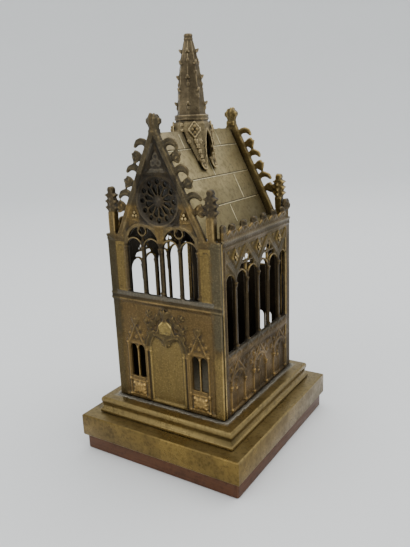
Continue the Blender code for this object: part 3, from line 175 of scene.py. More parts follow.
class Bench:
    """Modelling steps by operators, with everything else deselected."""

    @staticmethod
    def pick(*items: Object) -> None:
        """Select some objects alone, if any, and make the first one active."""
        for item in bpy.context.selected_objects:
            item.select_set(False)
        for item in items:
            item.select_set(True)
        if items:
            bpy.context.view_layer.objects.active = items[0]

    @staticmethod
    def ball(centre: Point3, radii: Point3, turn: Point3 = (0.0, 0.0, 0.0), sides: int = 8) -> Object:
        """Add an egg-shaped ball.

        Args:
            centre: its middle.
            radii: its half sizes before it is turned.
            turn: its turns about x, y and z in degrees.
            sides: segments round it.

        Returns:
            The new object.
        """
        Bench.pick()
        bpy.ops.mesh.primitive_uv_sphere_add(
            segments=sides,
            ring_count=max(4, sides * 3 // 4),
            radius=MM,
            location=metres(centre),
            rotation=[math.radians(value) for value in turn],
            scale=radii,
        )
        return bpy.context.object

    @staticmethod
    def balls(*rows: tuple[Point3, ...]) -> list[Object]:
        """Add a ball for each row of what ball() takes."""
        return [Bench.ball(*row) for row in rows]

    @staticmethod
    def cone(foot: Point3, low: float, high: float, rise: float, sides: int, turn: float = 0.0) -> Object:
        """Add an upright cone or prism.

        Args:
            foot: middle of its lower face.
            low: radius of its lower face.
            high: radius of its upper face.
            rise: its height.
            sides: segments round it.
            turn: turn about z in degrees.

        Returns:
            The new object.
        """
        Bench.pick()
        bpy.ops.mesh.primitive_cone_add(
            vertices=sides,
            radius1=low * MM,
            radius2=high * MM,
            depth=rise * MM,
            location=metres((foot[0], foot[1], foot[2] + rise / 2)),
            rotation=(0.0, 0.0, math.radians(turn)),
        )
        return bpy.context.object

    @staticmethod
    def ring(centre: Point3, radius: float, thick: float, flat: bool = True, sides: int = 16) -> Object:
        """Add a ring that lies flat, or that faces -y.

        Args:
            centre: its middle.
            radius: radius of its centreline.
            thick: radius of its section.
            flat: whether it lies flat.
            sides: segments round it.

        Returns:
            The new object.
        """
        Bench.pick()
        bpy.ops.mesh.primitive_torus_add(
            major_segments=sides,
            minor_segments=6,
            major_radius=radius * MM,
            minor_radius=thick * MM,
            location=metres(centre),
            rotation=(0.0 if flat else math.pi / 2, 0.0, 0.0),
        )
        return bpy.context.object

    @staticmethod
    def block(centre: Point3, size: Point3, bevel_share: float = 0.18) -> Object:
        """Add a box with a small bevel all round, a share of its least size."""
        Bench.pick()
        bpy.ops.mesh.primitive_cube_add(size=MM, location=metres(centre), scale=size)
        item = Bench.settle(bpy.context.object)
        bpy.ops.object.mode_set(mode="EDIT")
        bpy.ops.mesh.select_all(action="SELECT")
        bpy.ops.mesh.bevel(offset=min(size) * bevel_share * MM, segments=1)
        bpy.ops.object.mode_set(mode="OBJECT")
        return item

    @staticmethod
    def rod(path: Sequence[Point3], radius: float, taper: Sequence[float] = (), closed: bool = False) -> Object:
        """Add a round rib that follows points.

        Args:
            path: the points that it follows.
            radius: radius of its section.
            taper: share of the radius at each point, if it changes.
            closed: whether it joins up.

        Returns:
            The new mesh object.
        """
        curve = bpy.data.curves.new("rib", "CURVE")
        curve.dimensions = "3D"
        curve.bevel_depth = radius * MM
        curve.bevel_resolution = 1
        curve.use_fill_caps = True
        spline = curve.splines.new("POLY")
        spline.points.add(len(path) - 1)
        for index, (point, place) in enumerate(zip(spline.points, path)):
            point.co = (*metres(place), 1.0)
            point.radius = taper[index] if taper else 1.0
        spline.use_cyclic_u = closed
        item = bpy.data.objects.new("rib", curve)
        bpy.context.scene.collection.objects.link(item)
        Bench.pick(item)
        bpy.ops.object.convert(target="MESH")
        return bpy.context.object

    @staticmethod
    def settle(item: Object) -> Object:
        """Put an object's place, turn and size into its mesh, and return it."""
        Bench.pick(item)
        bpy.ops.object.transform_apply(location=True, rotation=True, scale=True)
        return item

    @staticmethod
    def join(items: list[Object], name: str) -> Object:
        """Join objects into one named mesh whose place is in its vertices."""
        Bench.pick(*items)
        if len(items) > 1:
            bpy.ops.object.join()
        items[0].name = name
        items[0].data.name = name
        return Bench.settle(items[0])

    @staticmethod
    def copy(master: Object, matrix: Matrix) -> Object:
        """Copy a settled shape, with its own mesh, to another place in metres."""
        item = master.copy()
        item.data = master.data.copy()
        item.data.transform(matrix)
        bpy.context.scene.collection.objects.link(item)
        return item

    @staticmethod
    def drop(items: Iterable[Object]) -> None:
        """Remove working shapes."""
        for item in items:
            bpy.data.objects.remove(item, do_unlink=True)

    @staticmethod
    def modify(item: Object, kind: str, **values: object) -> None:
        """Add a modifier of a type to an object, with its settings, and apply it."""
        Bench.pick(item)
        change = item.modifiers.new(kind.lower(), kind)
        for key, value in values.items():
            setattr(change, key, value)
        bpy.ops.object.modifier_apply(modifier=change.name)

    @staticmethod
    def smooth(item: Object, angle: float) -> None:
        """Shade an object smooth up to an angle in degrees."""
        Bench.pick(item)
        bpy.ops.object.shade_smooth_by_angle(angle=math.radians(angle))

    @staticmethod
    def merged_copy(node: str, name: str, weld: float = 0.00001) -> Object:
        """Copy a solid of the frame as a welded mesh with no parent.

        Args:
            node: the solid's name.
            name: name of the copy.
            weld: how near two corners are that become one, in metres.

        Returns:
            The copy.
        """
        item = bpy.data.objects.new(name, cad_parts[node].data.copy())
        item.data.name = name
        item.data.materials.clear()
        bpy.context.scene.collection.objects.link(item)
        Bench.pick(item)
        bpy.ops.object.mode_set(mode="EDIT")
        bpy.ops.mesh.select_all(action="SELECT")
        bpy.ops.mesh.remove_doubles(threshold=weld)
        bpy.ops.mesh.customdata_custom_splitnormals_clear()
        bpy.ops.object.mode_set(mode="OBJECT")
        return item

    @staticmethod
    def cast(item: Object, voxel: float, passes: int) -> None:
        """Melt overlapping shapes into one skin with soft edges, as a casting has.

        Args:
            item: the object.
            voxel: size of the grid.
            passes: rounds of smoothing.
        """
        Bench.modify(item, "REMESH", mode="VOXEL", voxel_size=voxel * MM)
        Bench.modify(item, "SMOOTH", factor=0.5, iterations=passes)
        Bench.pick(item)
        bpy.ops.object.shade_smooth()


class Ornaments:
    """Cast ornaments at the origin, each facing -y with its foot at z = 0."""

    def __init__(self) -> None:
        """Model every ornament."""
        self.leaf = Bench.join(self.leaf_parts(), "leaf_master")
        self.fan = Bench.join(self.fan_parts(), "fan_master")
        self.hook = Bench.join(self.hook_parts(), "hook_master")
        self.bud = Bench.join(self.bud_parts(), "bud_master")
        self.pinnacle = Bench.join(self.pinnacle_parts(), "pinnacle_master")
        self.rosette = Bench.join(self.rosette_parts(), "rosette_master")
        self.beads = Bench.join(self.bead_parts(), "beads_master")
        self.capital = Bench.join(self.capital_parts(), "capital_master")
        self.crest = Bench.join(self.crest_parts(), "crest_master")
        self.rear_leaf = Bench.join(self.rear_leaf_parts(), "rear_leaf_master")
        self.lozenge = Bench.join(self.lozenge_parts(), "lozenge_master")
        self.tongue = Bench.join(self.tongue_parts(), "tongue_master")
        self.highlight_beads = Bench.join(self.highlight_beads_parts(), "highlight_beads_master")
        self.knob = Bench.join(self.knob_parts(), "knob_master")

    def drop(self) -> None:
        """Remove the ornaments when all copies are made."""
        Bench.drop(vars(self).values())

    @staticmethod
    def leaf_parts() -> list[Object]:
        """Pointed leaf 4 mm tall with two side lobes and a raised rib."""
        parts = Bench.balls(
            ((0.0, -0.10, 2.2), (0.62, 0.55, 1.75)),
            ((0.0, -0.05, 0.4), (0.60, 0.45, 0.70)),
        )
        for side in SIDES:
            parts += Bench.balls(
                ((side * 1.15, 0.0, 1.75), (0.52, 0.50, 1.35), (0.0, side * 34.0, 0.0)),
                ((side * 1.25, 0.05, 0.55), (0.45, 0.40, 0.80), (0.0, side * 80.0, 0.0)),
            )
        return parts

    @staticmethod
    def fan_parts() -> list[Object]:
        """Fan leaf that grows along +x from a stalk and opens into three ribbed lobes."""
        parts = [Bench.rod([(-1.4, 0.0, -0.5), (0.4, 0.0, 0.0), (2.2, -0.1, 0.5)], 0.9, (1.2, 1.0, 0.9))]
        for angle, reach, thick in ((-14.0, 4.3, 1.0), (24.0, 4.9, 1.15), (66.0, 4.0, 1.0)):
            x, z = polar(angle)
            path = [
                (1.3 + reach * share * x, out, 0.2 + reach * share * z)
                for share, out in ((0.0, 0.0), (0.45, -0.5), (0.8, -0.65), (1.0, -0.3))
            ]
            parts.append(Bench.rod(path, thick, (0.45, 0.9, 1.1, 0.8)))
            parts.append(Bench.ball(path[-1], (thick * 0.95, thick * 0.8, thick * 0.85), (0.0, -angle, 0.0)))
            parts.append(Bench.rod([(x, y - thick * 0.75, z) for x, y, z in path], 0.3, (0.6, 1.0, 1.0, 0.5)))
        return parts

    @staticmethod
    def hook_parts() -> list[Object]:
        """Broad leaf that grows along +x, arches over and droops a little at its tip."""
        spreads = ((0.0, 0.3), (0.18, 0.8), (0.36, 1.0), (0.54, 1.05), (0.72, 1.0), (0.88, 0.8), (1.0, 0.35))
        parts = []
        for offset, thick in ((-0.85, 0.72), (0.0, 0.95), (0.85, 0.72)):
            path = []
            for share, spread in spreads:
                x, z = polar(176.0 - 176.0 * share)
                wide, tall = 3.45 + offset * spread, 2.55 + offset * spread
                lift = -0.45 * math.sin(math.pi * share)
                path.append((3.5 + wide * x, lift + 0.25 * abs(offset), tall * z))
            parts.append(Bench.rod(path, thick, (0.9, 0.95, 1.0, 1.05, 1.1, 1.0, 0.8)))
            crest = [(x, y - thick * 0.8, z) for x, y, z in path[1:]]
            parts.append(Bench.rod(crest, 0.28, (0.5, 1.0, 1.0, 1.0, 0.8, 0.5)))
        parts.append(Bench.ball((7.1, -0.1, 0.3), (1.15, 0.9, 1.0)))
        parts.append(Bench.rod([(-1.6, 0.0, -1.6), (-0.4, 0.0, -0.4), (0.2, 0.0, 0.9)], 0.9))
        return parts

    @staticmethod
    def bud_parts() -> list[Object]:
        """Bud of tall upright lobes on a neck ring, 9 mm tall."""
        parts = [
            Bench.ring((0.0, 0.0, 0.1), 2.1, 0.75),
            Bench.cone((0.0, 0.0, -0.8), 1.9, 2.3, 4.6, 8),
            Bench.ball((0.0, 0.0, 5.2), (2.5, 1.9, 3.7)),
        ]
        lobes = (
            (250.0, 1.0, 1.0), (300.0, 1.05, 0.93), (205.0, 1.15, 0.80), (345.0, 1.15, 0.78),
            (110.0, 1.0, 0.97), (60.0, 1.05, 0.9), (155.0, 1.15, 0.8),
        )
        for turn, reach, top in lobes:
            x, y = (value * reach for value in polar(turn))
            path = [
                (1.9 * x, 1.4 * y, 1.2), (2.5 * x, 1.9 * y, 4.4),
                (2.9 * x, 2.1 * y, 7.2 * top), (2.2 * x, 1.6 * y, 9.0 * top),
            ]
            parts.append(Bench.rod(path, 1.2, (0.65, 0.9, 1.05, 0.7)))
            parts.append(Bench.ball(path[-1], (0.9, 0.8, 0.75)))
        return parts

    @staticmethod
    def pinnacle_parts() -> list[Object]:
        """Square shaft with a slot, a toothed spirelet and an oval bud, foot at the eave."""
        parts = [
            Bench.cone((0.0, 0.0, -2.0), 2.9, 2.9, 14.0, 4, 45.0),
            Bench.cone((0.0, 0.0, 11.2), 3.3, 3.1, 1.2, 4, 45.0),
            Bench.cone((0.0, 0.0, 12.2), 2.6, 1.5, 10.0, 4, 45.0),
            Bench.ball((0.15, 0.0, 24.2), (1.9, 1.8, 3.0), (0.0, 6.0, 0.0)),
            Bench.ball((0.0, 0.0, 21.6), (1.3, 1.3, 0.7)),
        ]
        for height, reach in ((13.2, 3.6), (15.9, 3.4), (18.9, 3.0)):
            for x, y in around(4):
                path = [
                    (0.8 * x, 0.8 * y, height), (reach * 0.7 * x, reach * 0.5 * y, height + 0.5),
                    (reach * 1.1 * x, reach * 0.8 * y, height + 1.7),
                ]
                parts.append(Bench.rod(path, 0.8, (1.1, 1.0, 0.55)))
        return parts + [Bench.block((side * 1.75, -1.6, 6.5), (0.9, 1.6, 8.4)) for side in SIDES]

    @staticmethod
    def rosette_parts() -> list[Object]:
        """Four-petalled flower 3 mm across."""
        petals = [((x, 0.0, z), (0.68, 0.5, 0.68)) for x, z in around(4, 45.0, 0.95)]
        return Bench.balls(((0.0, -0.15, 0.0), (0.5, 0.5, 0.5)), *petals)

    @staticmethod
    def bead_parts() -> list[Object]:
        """Three round beads in a triangle."""
        return Bench.balls(*(((x, 0.0, z), (1.0, 0.75, 1.0)) for x, z in around(3, 90.0, 1.25)))

    @staticmethod
    def capital_parts() -> list[Object]:
        """Small capital of two rolls with a bell between them."""
        return [
            Bench.ring((0.0, 0.0, 0.0), 0.75, 0.38, sides=10),
            Bench.cone((0.0, 0.0, 0.1), 0.75, 1.25, 1.4, 8),
            Bench.ring((0.0, 0.0, 1.6), 1.05, 0.42, sides=10),
        ]

    @staticmethod
    def crest_parts() -> list[Object]:
        """Bud on a stalk between two drooping leaves, with half an arched stem on each side."""
        curl = [(-1.3, -1.6, 5.0), (0.1, -1.9, 4.9), (0.9, -1.9, 5.9), (0.2, -1.9, 6.8), (-0.8, -1.7, 6.4)]
        parts = [Bench.rod([(0.0, 0.0, -0.6), (0.0, 0.0, 4.4)], 1.0)]
        parts += Bench.balls(
            ((0.0, -0.1, 6.1), (2.3, 1.7, 2.0)),
            ((-1.8, -0.5, 5.3), (1.25, 1.2, 1.1), (0.0, 25.0, 0.0)),
            ((1.8, -0.5, 5.3), (1.25, 1.2, 1.1), (0.0, -25.0, 0.0)),
            ((-1.1, -0.8, 7.2), (1.05, 1.0, 0.8), (0.0, -30.0, 0.0)),
            ((1.1, -0.8, 7.2), (1.05, 1.0, 0.8), (0.0, 30.0, 0.0)),
        )
        parts.append(Bench.rod(curl, 0.42))
        stem = ((0.0, -0.1, 1.2), (1.6, -0.5, 3.4), (3.3, -0.7, 4.2), (4.9, -0.5, 3.1), (6.2, -0.2, 0.8))
        for side in SIDES:
            parts.append(Bench.rod([(side * x, y, z) for x, y, z in stem], 0.8, (1.0, 1.05, 1.15, 1.0, 0.8)))
        return parts

    @staticmethod
    def rear_leaf_parts() -> list[Object]:
        """Large curled leaf knob on a stalk, 12 mm tall."""
        swirl = [
            (-2.2, -1.7, 6.6), (-0.6, -2.0, 5.9), (1.1, -2.0, 6.8), (1.5, -1.9, 8.4),
            (0.3, -1.9, 9.5), (-1.0, -1.8, 8.7), (-0.4, -1.9, 7.7),
        ]
        parts = [Bench.rod([(0.0, 0.0, -0.6), (0.0, 0.0, 5.4)], 1.7)]
        parts += Bench.balls(
            ((0.0, 0.0, 8.2), (3.3, 1.6, 3.2)),
            ((-2.0, -0.5, 6.6), (1.6, 1.2, 1.5), (0.0, 30.0, 0.0)),
            ((2.0, -0.5, 7.0), (1.6, 1.2, 1.7), (0.0, -20.0, 0.0)),
            ((-1.5, -0.6, 9.7), (1.5, 1.2, 1.3), (0.0, -35.0, 0.0)),
            ((1.5, -0.5, 10.1), (1.5, 1.1, 1.2), (0.0, 35.0, 0.0)),
        )
        parts.append(Bench.rod(swirl, 0.55, (0.7, 1.0, 1.1, 1.1, 1.0, 0.9, 0.7)))
        return parts

    @staticmethod
    def lozenge_parts() -> list[Object]:
        """Roped rim of a lozenge, 7 by 9 mm, round four bright beads."""
        rim = [(0.0, 0.0, -4.2), (3.2, 0.0, 0.0), (0.0, 0.0, 4.2), (-3.2, 0.0, 0.0)]
        parts = [Bench.rod(rim, 0.42, closed=True)]
        for number, (x, _, z) in enumerate(rim):
            next_x, _, next_z = rim[(number + 1) % 4]
            for share in (0.125, 0.375, 0.625, 0.875):
                centre = (x + (next_x - x) * share, -0.12, z + (next_z - z) * share)
                parts.append(Bench.ball(centre, (0.58, 0.55, 0.58), sides=6))
        return parts + Bench.balls(*(((1.05 * x, -0.2, 1.4 * z), (0.68, 0.7, 0.78)) for x, z in around(4)))

    @staticmethod
    def highlight_beads_parts() -> list[Object]:
        """Four beads that sit in a lozenge; they take a rubbed finish with a painted highlight."""
        return [Bench.ball((1.1 * x, -0.45, 1.5 * z), (0.78, 0.62, 0.80), sides=10) for x, z in around(4)]

    @staticmethod
    def tongue_parts() -> list[Object]:
        """Rounded end of a drum leg, 6 mm long, with a raised rim and two beads."""
        bend = [(x, -0.75, z) for x, z in arc((0.0, -0.9), 2.0, 200.0, 340.0, 8)]
        rim = [(-1.9, -0.7, 2.6)] + bend + [(1.9, -0.7, 2.6)]
        parts = Bench.balls(((0.0, 0.0, 0.0), (2.1, 0.9, 3.1)), ((0.0, 0.0, 1.6), (2.1, 0.9, 2.6)))
        parts.append(Bench.rod(rim, 0.4))
        return parts + Bench.balls(((0.0, -0.9, 0.6), (0.7, 0.65, 0.7)), ((0.0, -0.9, -1.2), (0.65, 0.6, 0.65)))

    @staticmethod
    def knob_parts() -> list[Object]:
        """Leaf knob of the spire, growing towards -y."""
        return Bench.balls(
            ((0.0, -0.5, 0.0), (1.0, 1.2, 0.85)),
            ((0.0, -1.3, 0.75), (0.8, 0.75, 0.7)),
            ((-0.75, -0.7, -0.45), (0.6, 0.7, 0.55)),
            ((0.75, -0.7, -0.45), (0.6, 0.7, 0.55)),
        )


# Finishes


class Graph:
    """A shader tree, with short ways to add what the finishes need."""

    def __init__(self, tree: Tree) -> None:
        """Keep the tree."""
        self.tree = tree

    @classmethod
    def of_material(cls, name: str) -> tuple["Graph", Material, Socket, bpy.types.NodeInputs]:
        """Start a material and return its graph, itself, its coordinates and its shader's inputs."""
        material = bpy.data.materials.new(name)
        material.use_nodes = True
        graph = cls(material.node_tree)
        vector = graph.node("TexCoord", {}).outputs["Object"]
        return graph, material, vector, graph.tree.nodes["Principled BSDF"].inputs

    @classmethod
    def of_group(
        cls, name: str, inputs: dict[str, float | None], outputs: Sequence[str]
    ) -> tuple["Graph", bpy.types.NodeOutputs, bpy.types.NodeInputs]:
        """Start a node group.

        Args:
            name: its name.
            inputs: value of each input, or None for a vector.
            outputs: names of its values.

        Returns:
            Its graph, what comes in and what goes out.
        """
        tree = bpy.data.node_groups.new(name, "ShaderNodeTree")
        for key, value in inputs.items():
            kind = "NodeSocketVector" if value is None else "NodeSocketFloat"
            socket = tree.interface.new_socket(key, in_out="INPUT", socket_type=kind)
            if value is not None:
                socket.default_value = value
        for key in outputs:
            tree.interface.new_socket(key, in_out="OUTPUT", socket_type="NodeSocketFloat")
        return cls(tree), tree.nodes.new("NodeGroupInput").outputs, tree.nodes.new("NodeGroupOutput").inputs

    def feed(self, socket: Socket, entry: object) -> None:
        """Link a socket to another one, or set its number, vector or colour."""
        if isinstance(entry, Socket):
            self.tree.links.new(entry, socket)
        elif socket.type == "RGBA":
            socket.default_value = (*entry, 1.0)
        else:
            socket.default_value = entry

    def node(self, kind: str, inputs: dict[str | int, object], **settings: object) -> bpy.types.Node:
        """Add a node.

        Args:
            kind: its type without the usual prefix.
            inputs: a socket or value for each input.
            settings: its other settings.

        Returns:
            The node.
        """
        node = self.tree.nodes.new("ShaderNode" + kind)
        for key, value in settings.items():
            setattr(node, key, value)
        for key, entry in inputs.items():
            self.feed(node.inputs[key], entry)
        return node

    def place(self, group: Tree, **inputs: object) -> bpy.types.NodeOutputs:
        """Place a node group, with _ for spaces in its inputs' names, and return its outputs."""
        entries = {key.replace("_", " "): entry for key, entry in inputs.items()}
        return self.node("Group", entries, node_tree=group).outputs

    def value(self, operation: str, first: object, second: object = 0.0, clamp: bool = False) -> Socket:
        """Add a step on values, whose result may be kept from 0 to 1."""
        return self.node("Math", {0: first, 1: second}, operation=operation, use_clamp=clamp).outputs[0]

    def times(self, first: object, second: object) -> Socket:
        """Multiply two values."""
        return self.value("MULTIPLY", first, second)

    def ramp(self, source: Socket, low: object, high: object, start: float = 0.0, end: float = 1.0) -> Socket:
        """Map a value smoothly from one range to another.

        Args:
            source: the value.
            low: where the source range starts.
            high: where it ends.
            start: the result at its start.
            end: the result at its end.

        Returns:
            The result's socket.
        """
        inputs = {"From Min": low, "From Max": high, "To Min": start, "To Max": end, "Value": source}
        return self.node("MapRange", inputs, interpolation_type="SMOOTHSTEP").outputs["Result"]

    def mix(self, share: object, first: object, second: object) -> Socket:
        """Mix two colours by the share of the second."""
        return self.node("Mix", {0: share, 6: first, 7: second}, data_type="RGBA").outputs[2]

    def layer(self, under: object, mask: Socket, share: object, over: object) -> Socket:
        """Lay a share of a colour over another where a mask is."""
        return self.mix(self.times(mask, share), under, over)

    def noise(self, vector: Socket, scale: object, detail: float, rough: float = 0.6) -> Socket:
        """Add a cloud pattern.

        Args:
            vector: where it is read.
            scale: its scale.
            detail: octaves.
            rough: how strong the fine octaves are.

        Returns:
            The pattern's value.
        """
        inputs = {"Detail": detail, "Roughness": rough, "Vector": vector, "Scale": scale}
        return self.node("TexNoise", inputs).outputs["Fac"]

    def stretched(self, vector: Socket, scale: Point3) -> Socket:
        """Scale coordinates along each axis."""
        return self.node("Mapping", {"Scale": scale, "Vector": vector}).outputs["Vector"]

    def bump(self, height: Socket, strength: float, distance: float) -> Socket:
        """Turn a height into a normal, with its distance in metres."""
        inputs = {"Strength": strength, "Distance": distance, "Height": height}
        return self.node("Bump", inputs).outputs["Normal"]


class SharedEffects:
    """Node groups that several finishes use."""

    def __init__(self) -> None:
        """Build the groups."""
        self.wear_shade_highlight = self.build_wear_shade_highlight()
        self.tarnish = self.build_tarnish()
        self.grain = self.build_grain()
        self.zone = self.build_zone()
        self.under_roof = self.build_under_roof()

    @staticmethod
    def build_wear_shade_highlight() -> Tree:
        """Masks of rubbed edges, which also carry a painted highlight, and of corners with painted shade and
        patina, both broken up by a cloud pattern, and of recesses with painted shade by ambient occlusion.
        """
        inputs = {
            "Vector": None, "Scale": 400.0,
            "Edge Low": 0.507, "Edge High": 0.56, "Corner Low": 0.494, "Corner High": 0.44,
        }
        graph, start, end = Graph.of_group("wear_shade_highlight_masks", inputs, ("Edges", "Corners", "Recess Shade"))
        shape = graph.node("NewGeometry", {}).outputs["Pointiness"]
        cloud = graph.ramp(graph.noise(start["Vector"], start["Scale"], 3.0), 0.30, 0.55, 0.45, 1.0)
        for side, name in (("Edge", "Edges"), ("Corner", "Corners")):
            mask = graph.ramp(shape, start[side + " Low"], start[side + " High"])
            graph.feed(end[name], graph.value("MULTIPLY", mask, cloud, True))
        # Ambient occlusion marks recesses for painted shade.
        ambient_shade = graph.node("AmbientOcclusion", {"Distance": 0.0030}, samples=6).outputs["AO"]
        graph.feed(end["Recess Shade"], graph.ramp(ambient_shade, 0.84, 0.36))
        return graph.tree

    @staticmethod
    def build_zone() -> Tree:
        """Mask of a box with a soft, ragged edge."""
        inputs = {"Vector": None, "Low": None, "High": None, "Soft": 0.001, "Mirror": 1.0}
        graph, start, end = Graph.of_group("tone_zone", inputs, ("Mask",))

        def step(operation: str, first: Socket, second: Socket) -> Socket:
            """Add a step on vectors."""
            return graph.node("VectorMath", {0: first, 1: second}, operation=operation).outputs["Vector"]

        vector = start["Vector"]
        inputs = {0: start["Mirror"], 4: vector, 5: step("ABSOLUTE", vector, vector)}
        place = graph.node("Mix", inputs, data_type="VECTOR").outputs[1]
        outside = step("MAXIMUM", step("SUBTRACT", start["Low"], place), step("SUBTRACT", place, start["High"]))
        parts = graph.node("SeparateXYZ", {0: outside}).outputs
        far = graph.value("MAXIMUM", parts[0], graph.value("MAXIMUM", parts[1], parts[2]))
        ragged = graph.value("SUBTRACT", graph.noise(vector, 350.0, 3.0), 0.5)
        shift = graph.times(ragged, graph.times(start["Soft"], 2.0))
        share = graph.value("DIVIDE", graph.value("ADD", far, shift), start["Soft"])
        graph.feed(end["Mask"], graph.ramp(share, 0.6, -0.6))
        return graph.tree

    @staticmethod
    def build_under_roof() -> Tree:
        """Mask of what lies inside the roof's planes."""
        graph, start, end = Graph.of_group("under_roof", {"Vector": None}, ("Mask",))
        parts = graph.node("SeparateXYZ", {0: start["Vector"]}).outputs
        run = graph.times(graph.value("ABSOLUTE", parts[0]), CHAPEL.roof_slope)
        level = graph.value("ADD", run, parts[2])
        graph.feed(end["Mask"], graph.ramp(level, (CHAPEL.ridge - 0.7) * MM, (CHAPEL.ridge - 1.5) * MM))
        return graph.tree

    @staticmethod
    def build_tarnish() -> Tree:
        """Large clouds, small specks and streaks that run down."""
        inputs = {"Vector": None, "Cloud Scale": 45.0, "Speck Scale": 700.0}
        graph, start, end = Graph.of_group("tarnish", inputs, ("Clouds", "Specks", "Streaks"))
        vector = start["Vector"]
        clouds = graph.noise(vector, start["Cloud Scale"], 6.0, 0.65)
        specks = graph.noise(vector, start["Speck Scale"], 2.0, 0.5)
        streaks = graph.noise(graph.stretched(vector, (1.0, 1.0, 0.16)), 260.0, 3.0)
        graph.feed(end["Clouds"], graph.ramp(clouds, 0.36, 0.66))
        graph.feed(end["Specks"], graph.ramp(specks, 0.60, 0.72))
        graph.feed(end["Streaks"], graph.ramp(streaks, 0.45, 0.70))
        return graph.tree

    @staticmethod
    def build_grain() -> Tree:
        """Height of a cast skin: pits, punch marks and a soft waviness."""
        inputs = {"Vector": None, "Fine Scale": 1500.0, "Punch Scale": 850.0, "Punch": 0.0}
        graph, start, end = Graph.of_group("cast_skin", inputs, ("Height", "Dots"))
        vector = start["Vector"]
        fine = graph.noise(vector, start["Fine Scale"], 3.0, 0.7)
        wavy = graph.noise(vector, 170.0, 3.0, 0.5)
        cells = graph.node("TexVoronoi", {"Vector": vector, "Scale": start["Punch Scale"]}, feature="F1")
        dots = graph.times(graph.ramp(cells.outputs["Distance"], 0.10, 0.55), start["Punch"])
        total = graph.value("ADD", graph.times(fine, 0.35), graph.times(wavy, 0.5))
        graph.feed(end["Dots"], dots)
        graph.feed(end["Height"], graph.value("ADD", total, dots))
        return graph.tree


@dataclass(frozen=True)
class Zone:
    """Part of a piece with its own tone or painted shade, mirrored about x = 0 and y = 0 unless told otherwise.

    A quiet zone has fewer rubbed edges and less painted highlight, an inside one ends at the roof's planes,
    and a raised one only holds what stands proud of a wall's panels.
    """

    low: Point3
    high: Point3
    colour: Colour
    share: float
    soft: float = 1.5
    mirror: bool = True
    quiet: float = 0.0
    inside: bool = False
    raised: bool = False


